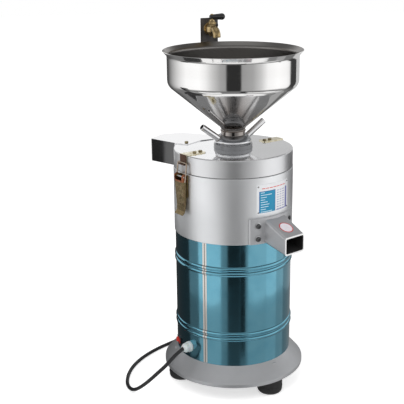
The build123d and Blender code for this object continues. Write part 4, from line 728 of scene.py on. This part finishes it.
bar_rows = [15.2 - 4.8 * row for row in range(9)]
bar_ends = [-25, -8, -20, -24, -18, -14, -16, -22, -7]
column_ends = [(6, 11), (14, 19), (22, 28)]
printed("print_red_rule", [(left, left + 7.6, 21.0, 22.6) for left in range(-31, 30, 9)], (0.72, 0.12, 0.10), 1)
printed("print_teal_panel", [(-37, 1.5, -27, 16.5)], (0.005, 0.26, 0.46), 1)
printed("print_deep_edge", [(-37, -35.6, -27, 16.5), (0.2, 1.5, -27, 16.5), (-35.6, 0.2, 15.4, 16.5)],
        (0.02, 0.12, 0.34), 2)
printed("print_light_bars", [(-33.5, end, z - 2.4, z - 0.9) for z, end in zip(bar_rows, bar_ends)],
        (0.55, 0.74, 0.82), 2)
printed("print_ruled_edge", [(31.5, 37, -27, 16.5), (4, 31.5, -27, -25.6)], (0.16, 0.17, 0.42), 1)
printed("print_rules", [(left, right, z - 2.6, z - 1.2) for z in bar_rows for left, right in column_ends],
        (0.30, 0.30, 0.52), 1)
rivet_metal = soften(finish("rivet_metal", (0.30, 0.29, 0.28), metallic=1.0, roughness=0.4), 0.2 * mm)
grain(rivet_metal, 1.5 * mm, gloss=(0.3, 0.5))
dress(rivet_metal, "plate_rivets")

# Lid: a cast cap, lacquered silver on its side. The top is turned bright, so it mirrors the adjuster.
lid_metal = finish("turned_lid", (0.76, 0.765, 0.775), metallic=0.95, roughness=0.36, Coat_Weight=0.3,
                   Coat_Roughness=0.08)
soften(lid_metal, 0.9 * mm, edge_colour=(0.45, 0.45, 0.46))
grain(lid_metal, 1.1 * mm, rings=True, bump=0.008 * mm, detail=2)
grain(lid_metal, 70 * mm, tint=((0.70, 0.705, 0.72), 0.4, 0.8))


def polished_top(made, side_gloss, top_gloss):
    """Gloss that changes from upright walls to level faces."""
    tree = made.node_tree
    facing = tree.nodes.new("ShaderNodeSeparateXYZ")
    tree.links.new(tree.nodes.new("ShaderNodeNewGeometry").outputs["True Normal"], facing.inputs[0])
    level = tree.nodes.new("ShaderNodeMapRange")
    level.inputs["From Min"].default_value, level.inputs["From Max"].default_value = 0.6, 0.98
    level.inputs["To Min"].default_value, level.inputs["To Max"].default_value = side_gloss, top_gloss
    tree.links.new(facing.outputs["Z"], level.inputs["Value"])
    tree.links.new(level.outputs[0], tree.nodes["Principled BSDF"].inputs["Roughness"])
    return made


def round_the_axis(made, colour, reach, beyond_it):
    """Another colour within a distance of the upright axis, or beyond it."""
    tree = made.node_tree
    flat = tree.nodes.new("ShaderNodeVectorMath")
    flat.operation = "MULTIPLY"
    flat.inputs[1].default_value = (1, 1, 0)
    tree.links.new(tree.nodes.new("ShaderNodeTexCoord").outputs["Object"], flat.inputs[0])
    away = tree.nodes.new("ShaderNodeVectorMath")
    away.operation = "LENGTH"
    tree.links.new(flat.outputs["Vector"], away.inputs[0])
    past = tree.nodes.new("ShaderNodeMath")
    past.operation = "GREATER_THAN" if beyond_it else "LESS_THAN"
    past.inputs[1].default_value = reach
    tree.links.new(away.outputs["Value"], past.inputs[0])
    mixed(made, colour, past.outputs[0])
    return made


boss_reach = 39.7 * mm
# Painted dark reflection: within the boss's reach the lid is coloured dark grey.
dress(round_the_axis(polished_top(lid_metal, 0.36, 0.10), (0.25, 0.255, 0.265), boss_reach, False), "lid")

# Latches: steel pressings and wire with yellow zinc plating, which ranges from olive to copper and pink.
# The lever cheeks have browned most, and the keepers' hooks are painted dark brown as a dark reflection.


def zinc(name, colour, second, third, roughness=0.28, edge=None):
    """Yellow zinc plating with two more tints that drift over it, and a painted highlight on its edges where one is
    given.
    """
    made = soften(finish(name, colour, metallic=1.0, roughness=roughness), 0.5 * mm, edge_colour=edge)
    grain(made, 9 * mm, tint=(second, 0.42, 0.62), gloss=(roughness - 0.08, roughness + 0.14))
    grain(made, 4 * mm, tint=(third, 0.55, 0.75), bump=0.02 * mm)
    return made


keeper_zinc = zinc("keeper_zinc", (0.78, 0.74, 0.60), (0.66, 0.58, 0.38), (0.50, 0.42, 0.24), 0.2)
lid_reach, barrel_z = 122.6 * mm, 452.0 * mm
# Painted dark reflection: the keepers' hooks, beyond the lid's edge, are coloured dark brown.
round_the_axis(keeper_zinc, (0.15, 0.085, 0.06), lid_reach, True)
# The lever's pale pink edge colour is a painted highlight.
lever_zinc = zinc("lever_zinc", (0.30, 0.235, 0.125), (0.25, 0.19, 0.10), (0.33, 0.20, 0.13), 0.24,
                  edge=(0.86, 0.60, 0.50))
wire_zinc = zinc("bail_zinc", (0.66, 0.57, 0.47), (0.52, 0.40, 0.30), (0.46, 0.40, 0.28))
base_zinc = zinc("latch_base_zinc", (0.34, 0.27, 0.12), (0.22, 0.16, 0.08), (0.40, 0.22, 0.12))
screw_zinc = zinc("screw_zinc", (0.30, 0.25, 0.14), (0.20, 0.16, 0.09), (0.38, 0.30, 0.18))
mixed_past(lever_zinc, (0.50, 0.19, 0.10), "Z", barrel_z)
for side in ("left", "right"):
    dress(keeper_zinc, f"latch_keeper_{side}")
    dress(lever_zinc, f"latch_lever_{side}")
    dress(wire_zinc, f"latch_bail_{side}")
    dress(base_zinc, f"latch_base_{side}")
dress(screw_zinc, "keeper_screws", "chute_screws", "latch_rivets")

# Dregs chute: thin stainless sheet, folded and polished, screwed to the lid's top.
chute_sheet = finish("chute_stainless", (0.78, 0.78, 0.79), metallic=1.0, roughness=0.07)
soften(chute_sheet, 0.5 * mm)
grain(chute_sheet, 25 * mm, stretch=(1, 1, 0.3), bump=0.03 * mm, gloss=(0.05, 0.10), detail=2)
dress(chute_sheet, "dregs_chute")

# Adjuster: a turned stainless ring, coloured dark above its foot band as a painted dark reflection, and two chromed
# tubes welded on as handles.
ring_metal = finish("turned_ring", (0.80, 0.805, 0.82), metallic=1.0, roughness=0.16)
soften(ring_metal, 0.4 * mm)
grain(ring_metal, 0.8 * mm, rings=True, bump=0.01 * mm, gloss=(0.14, 0.28))
band_top = 518.2 * mm
# Painted dark reflection: above the foot band the ring is coloured dark grey.
mixed_past(ring_metal, (0.29, 0.30, 0.315), "Z", band_top)
dress(ring_metal, "adjuster_ring")
chrome = soften(finish("handle_chrome", (0.80, 0.80, 0.81), metallic=1.0, roughness=0.06), 0.3 * mm)
grain(chrome, 10 * mm, gloss=(0.04, 0.10))
dress(chrome, "adjuster_handles")
boss_z = 511.5 * mm
handle_side, handle_slope, handle_r = 166.5, 36.5, 6.5 * mm
for name, side in (("left", handle_side), ("right", handle_side + 180)):
    a, rise = radians(side), radians(handle_slope)
    out_line = Vector((cos(a) * cos(rise), sin(a) * cos(rise), sin(rise)))
    across = Vector((-sin(a), cos(a), 0))
    over = out_line.cross(across)
    foot = Vector((30 * mm * cos(a), 30 * mm * sin(a), boss_z + 9.5 * mm))
    bead_line = []
    for step in range(40):
        turned_by = 2 * pi * step / 40
        spot = foot + (across * cos(turned_by) + over * sin(turned_by)) * handle_r
        ring_reach = 36.3 * mm - max(0.0, spot.z - boss_z - 8.5 * mm) * 1.05
        for _ in range(12):
            spot += out_line * (ring_reach - hypot(spot.x, spot.y)) * 0.7
            ring_reach = 36.3 * mm - max(0.0, spot.z - boss_z - 8.5 * mm) * 1.05
        bead_line.append(spot)
    weld(f"handle_weld_{name}", bead_line, 0.9 * mm, "adjuster", closed=True)

# Hopper: one spun stainless sheet, polished bright outside. Inside it stays dull, with a darker colour that is
# painted shade, and the neck shows the ring where it was joined; low on the neck a darker colour is a painted dark
# reflection.
hopper_steel = finish("spun_stainless", (0.84, 0.835, 0.83), metallic=1.0, roughness=0.07)
grain(hopper_steel, 1.6 * mm, rings=True, bump=0.008 * mm, detail=2)
grain(hopper_steel, 30 * mm, rings=True, gloss=(0.05, 0.10), tint=((0.79, 0.78, 0.77), 0.4, 0.8))


def dull_and_painted_shade_inside(made, colour, gloss):
    """A duller surface on faces that look towards the upright axis, coloured darker there as painted shade."""
    tree = made.node_tree
    shader = tree.nodes["Principled BSDF"]
    face = tree.nodes.new("ShaderNodeNewGeometry")
    flat = tree.nodes.new("ShaderNodeVectorMath")
    flat.operation = "MULTIPLY"
    flat.inputs[1].default_value = (1, 1, 0)
    tree.links.new(tree.nodes.new("ShaderNodeTexCoord").outputs["Object"], flat.inputs[0])
    away = tree.nodes.new("ShaderNodeVectorMath")
    away.operation = "DOT_PRODUCT"
    tree.links.new(flat.outputs["Vector"], away.inputs[0])
    tree.links.new(face.outputs["True Normal"], away.inputs[1])
    inside = tree.nodes.new("ShaderNodeMath")
    inside.operation = "LESS_THAN"
    inside.inputs[1].default_value = 0.0
    tree.links.new(away.outputs["Value"], inside.inputs[0])
    mixed(made, colour, inside.outputs[0])
    shine = tree.nodes.new("ShaderNodeMix")
    shine.data_type = "FLOAT"
    tree.links.new(inside.outputs[0], shine.inputs["Factor"])
    tree.links.new(shader.inputs["Roughness"].links[0].from_socket, shine.inputs["A"])
    shine.inputs["B"].default_value = gloss
    tree.links.new(shine.outputs["Result"], shader.inputs["Roughness"])
    return made


def painted_dark_reflection_downwards(made, colour, full_z, none_z):
    """A brownish darker colour that deepens from one height down to another, as a painted dark reflection."""
    tree = made.node_tree
    split = tree.nodes.new("ShaderNodeSeparateXYZ")
    tree.links.new(tree.nodes.new("ShaderNodeTexCoord").outputs["Object"], split.inputs[0])
    low = tree.nodes.new("ShaderNodeMapRange")
    low.inputs["From Min"].default_value, low.inputs["From Max"].default_value = none_z, full_z
    tree.links.new(split.outputs["Z"], low.inputs["Value"])
    mixed(made, colour, low.outputs[0])
    return made


neck_dark_low, neck_dark_high = 550 * mm, 604 * mm
# Painted dark reflection: the neck is coloured a darker brownish grey from 604 mm down to 550 mm.
painted_dark_reflection_downwards(hopper_steel, (0.30, 0.275, 0.26), neck_dark_low, neck_dark_high)
# Painted shade: faces inside the hopper are coloured dark grey; their dull gloss is the sheet's own.
dress(dull_and_painted_shade_inside(hopper_steel, (0.27, 0.26, 0.25), 0.32), "hopper")
neck_ring_z, neck_ring_r = 537.5 * mm, 24.9 * mm
weld("hopper_neck_weld", [(neck_ring_r * cos(2 * pi * step / 120), neck_ring_r * sin(2 * pi * step / 120), neck_ring_z)
                          for step in range(120)], 0.7 * mm, "hopper_set", closed=True)

# Tap bracket: a strip of hot-rolled stainless, dull and dark. It stands behind the hopper and is tacked on both
# edges to the rim, and at its bent foot to the band.
dark_strip = soften(finish("dark_strip", (0.115, 0.11, 0.108), metallic=0.8, roughness=0.45), 0.5 * mm)
grain(dark_strip, 6 * mm, stretch=(1, 1, 0.2), bump=0.03 * mm, gloss=(0.38, 0.55),
      tint=((0.17, 0.16, 0.155), 0.45, 0.75))
dress(dark_strip, "tap_bracket")
tap_side = radians(69.2)
tap_out = Vector((cos(tap_side), sin(tap_side), 0))
tap_across = Vector((-sin(tap_side), cos(tap_side), 0))
rim_z, tap_z = 698.0 * mm, 726.5 * mm
rim_reach, band_reach, bracket_half_w = 139.7 * mm, 131.0 * mm, 19.0 * mm
for name, flip in (("left", -1), ("right", 1)):
    for number, (reach, z) in enumerate(((rim_reach, rim_z - 2 * mm), (band_reach, 662 * mm))):
        along = sqrt(reach ** 2 - bracket_half_w ** 2) + 0.4 * mm
        edge = tap_out * along + tap_across * flip * (bracket_half_w + 0.2 * mm)
        weld(f"bracket_tack_{name}_{number}", [edge + Vector((0, 0, z + step * 0.8 * mm)) for step in range(4)],
             0.9 * mm, "hopper_set")

# Water tap: a cast and turned brass half-inch tap, browned by handling. The packing nut, the stop screw and
# the lever's cap nut are fitted over it.
brass = soften(finish("tap_brass", (0.50, 0.38, 0.20), metallic=1.0, roughness=0.20), 0.5 * mm)
grain(brass, 7 * mm, gloss=(0.2, 0.42), tint=((0.26, 0.18, 0.08), 0.48, 0.75))
grain(brass, 0.8 * mm, bump=0.02 * mm)
dress(brass, "tap_body", "tap_nut", "tap_stem")
valve = tap_out * ((139.75 - 17.0) * mm)
tap_foot = Vector((valve.x, valve.y, tap_z))
hexagon = [(8.6 * mm * cos(radians(60 * side)), 8.6 * mm * sin(radians(60 * side))) for side in range(6)]


def stacked(name, outline, levels, centre):
    """An outline raised through (height, scale) levels, with both ends closed."""
    rings = [[(centre.x + x * size, centre.y + y * size, centre.z + rise) for x, y in outline]
             for rise, size in levels]
    return through(name, rings, (True, True))


add(stacked("tap_packing_nut", hexagon, [(11.0 * mm, 0.93), (11.6 * mm, 1.0), (14.6 * mm, 1.0), (15.4 * mm, 0.9)],
            tap_foot), "hopper_set", brass)
stop_out = Vector((cos(radians(-38)), sin(radians(-38)), 0))
stop_foot = tap_foot + Vector((0, 0, 8.5 * mm)) + stop_out * 7.6 * mm
stop_ring = [(0.01 * mm, 0), (1.9 * mm, 0), (1.9 * mm, 2.2 * mm), (3.0 * mm, 2.4 * mm), (3.0 * mm, 4.6 * mm),
             (2.4 * mm, 5.2 * mm), (0.01 * mm, 5.2 * mm)]
add(turned("tap_stop_screw", stop_ring, stop_foot, stop_out, 20), "hopper_set", black_oxide)
lever_black = soften(finish("lever_moulding", (0.014, 0.014, 0.015), roughness=0.25, Coat_Weight=0.3), 0.6 * mm)
grain(lever_black, 3 * mm, bump=0.01 * mm, gloss=(0.18, 0.34))
dress(lever_black, "tap_lever")
cap_ring = [(0.01 * mm, 0), (3.4 * mm, 0), (3.4 * mm, 0.9 * mm), (2.6 * mm, 1.7 * mm), (0.01 * mm, 2.0 * mm)]
cap_foot = tap_foot + Vector((0, 0, 29.6 * mm))
add(turned("tap_lever_cap", cap_ring, cap_foot, (0, 0, 1), 24), "tap_handle", brass)

# Cable gland: pale grey nylon, with a ribbed nut for the fingers and a lock nut inside the drum.
nylon = soften(finish("gland_nylon", (0.66, 0.70, 0.70), roughness=0.38, Subsurface_Weight=0.1), 0.5 * mm)
grain(nylon, 1.5 * mm, bump=0.02 * mm, gloss=(0.32, 0.45))
dress(nylon, "cable_gland", "gland_nut")
rib_count, rib_reach, rib_w, rib_h = 16, 9.2 * mm, 0.9 * mm, 0.9 * mm
ribs = []
for number in range(rib_count):
    angle = 2 * pi * number / rib_count
    up = Vector((0, cos(angle), sin(angle)))
    beside = Vector((0, -sin(angle), cos(angle)))
    rings = []
    for x, size in ((-125.2, 0.5), (-125.8, 1.0), (-132.6, 1.0), (-134.2, 0.35)):
        centre = Vector((x * mm, 0, gland_z)) + up * (rib_reach - 0.2 * mm)
        rings.append([centre + beside * across * rib_w / 2 + up * rise * size * rib_h
                      for across, rise in ((-1, 0), (-0.6, 0.9), (0.6, 0.9), (1, 0))])
    ribs.append(through("rib", rings, (True, True)))
add(joined("gland_ribs", ribs), "machine", nylon)

# Switch: a black moulded body with a red rocker, gloss from the mould.
switch_black = soften(finish("switch_moulding", (0.02, 0.02, 0.021), roughness=0.35), 0.5 * mm)
grain(switch_black, 1 * mm, bump=0.015 * mm, gloss=(0.28, 0.42))
dress(switch_black, "switch_body")
rocker_red = soften(finish("rocker_moulding", (0.55, 0.03, 0.02), roughness=0.25, Coat_Weight=0.4), 0.5 * mm)
grain(rocker_red, 2 * mm, bump=0.01 * mm, gloss=(0.2, 0.32))
dress(rocker_red, "switch_rocker")

# Cord tie: a plain strip of grey tape round the coil, on the side away from the machine.
tape = grain(finish("tie_tape", (0.10, 0.10, 0.11), roughness=0.8), 0.7 * mm, bump=0.08 * mm)
tie_side = radians(20)
tie_mid = (coil_outer + coil_inner) / 2
tie_rings = []
for width in (-5, 5):
    shift = Vector((-sin(tie_side), cos(tie_side), 0)) * width * mm
    spot = Vector((*coil_centre, 7.75 * mm)) + Vector((cos(tie_side), sin(tie_side), 0)) * tie_mid + shift
    for reach in ((8.1 * mm, 7.75 * mm), (7.7 * mm, 7.3 * mm))[::1 if width < 0 else -1]:
        tie_rings.append([spot + Vector((cos(tie_side), sin(tie_side), 0)) * x + Vector((0, 0, z))
                          for x, z in rounded_box(reach[0], reach[1], 3.6 * mm)])
tie_rings.append(tie_rings[0])
add(through("cord_tie", tie_rings), "machine", tape)
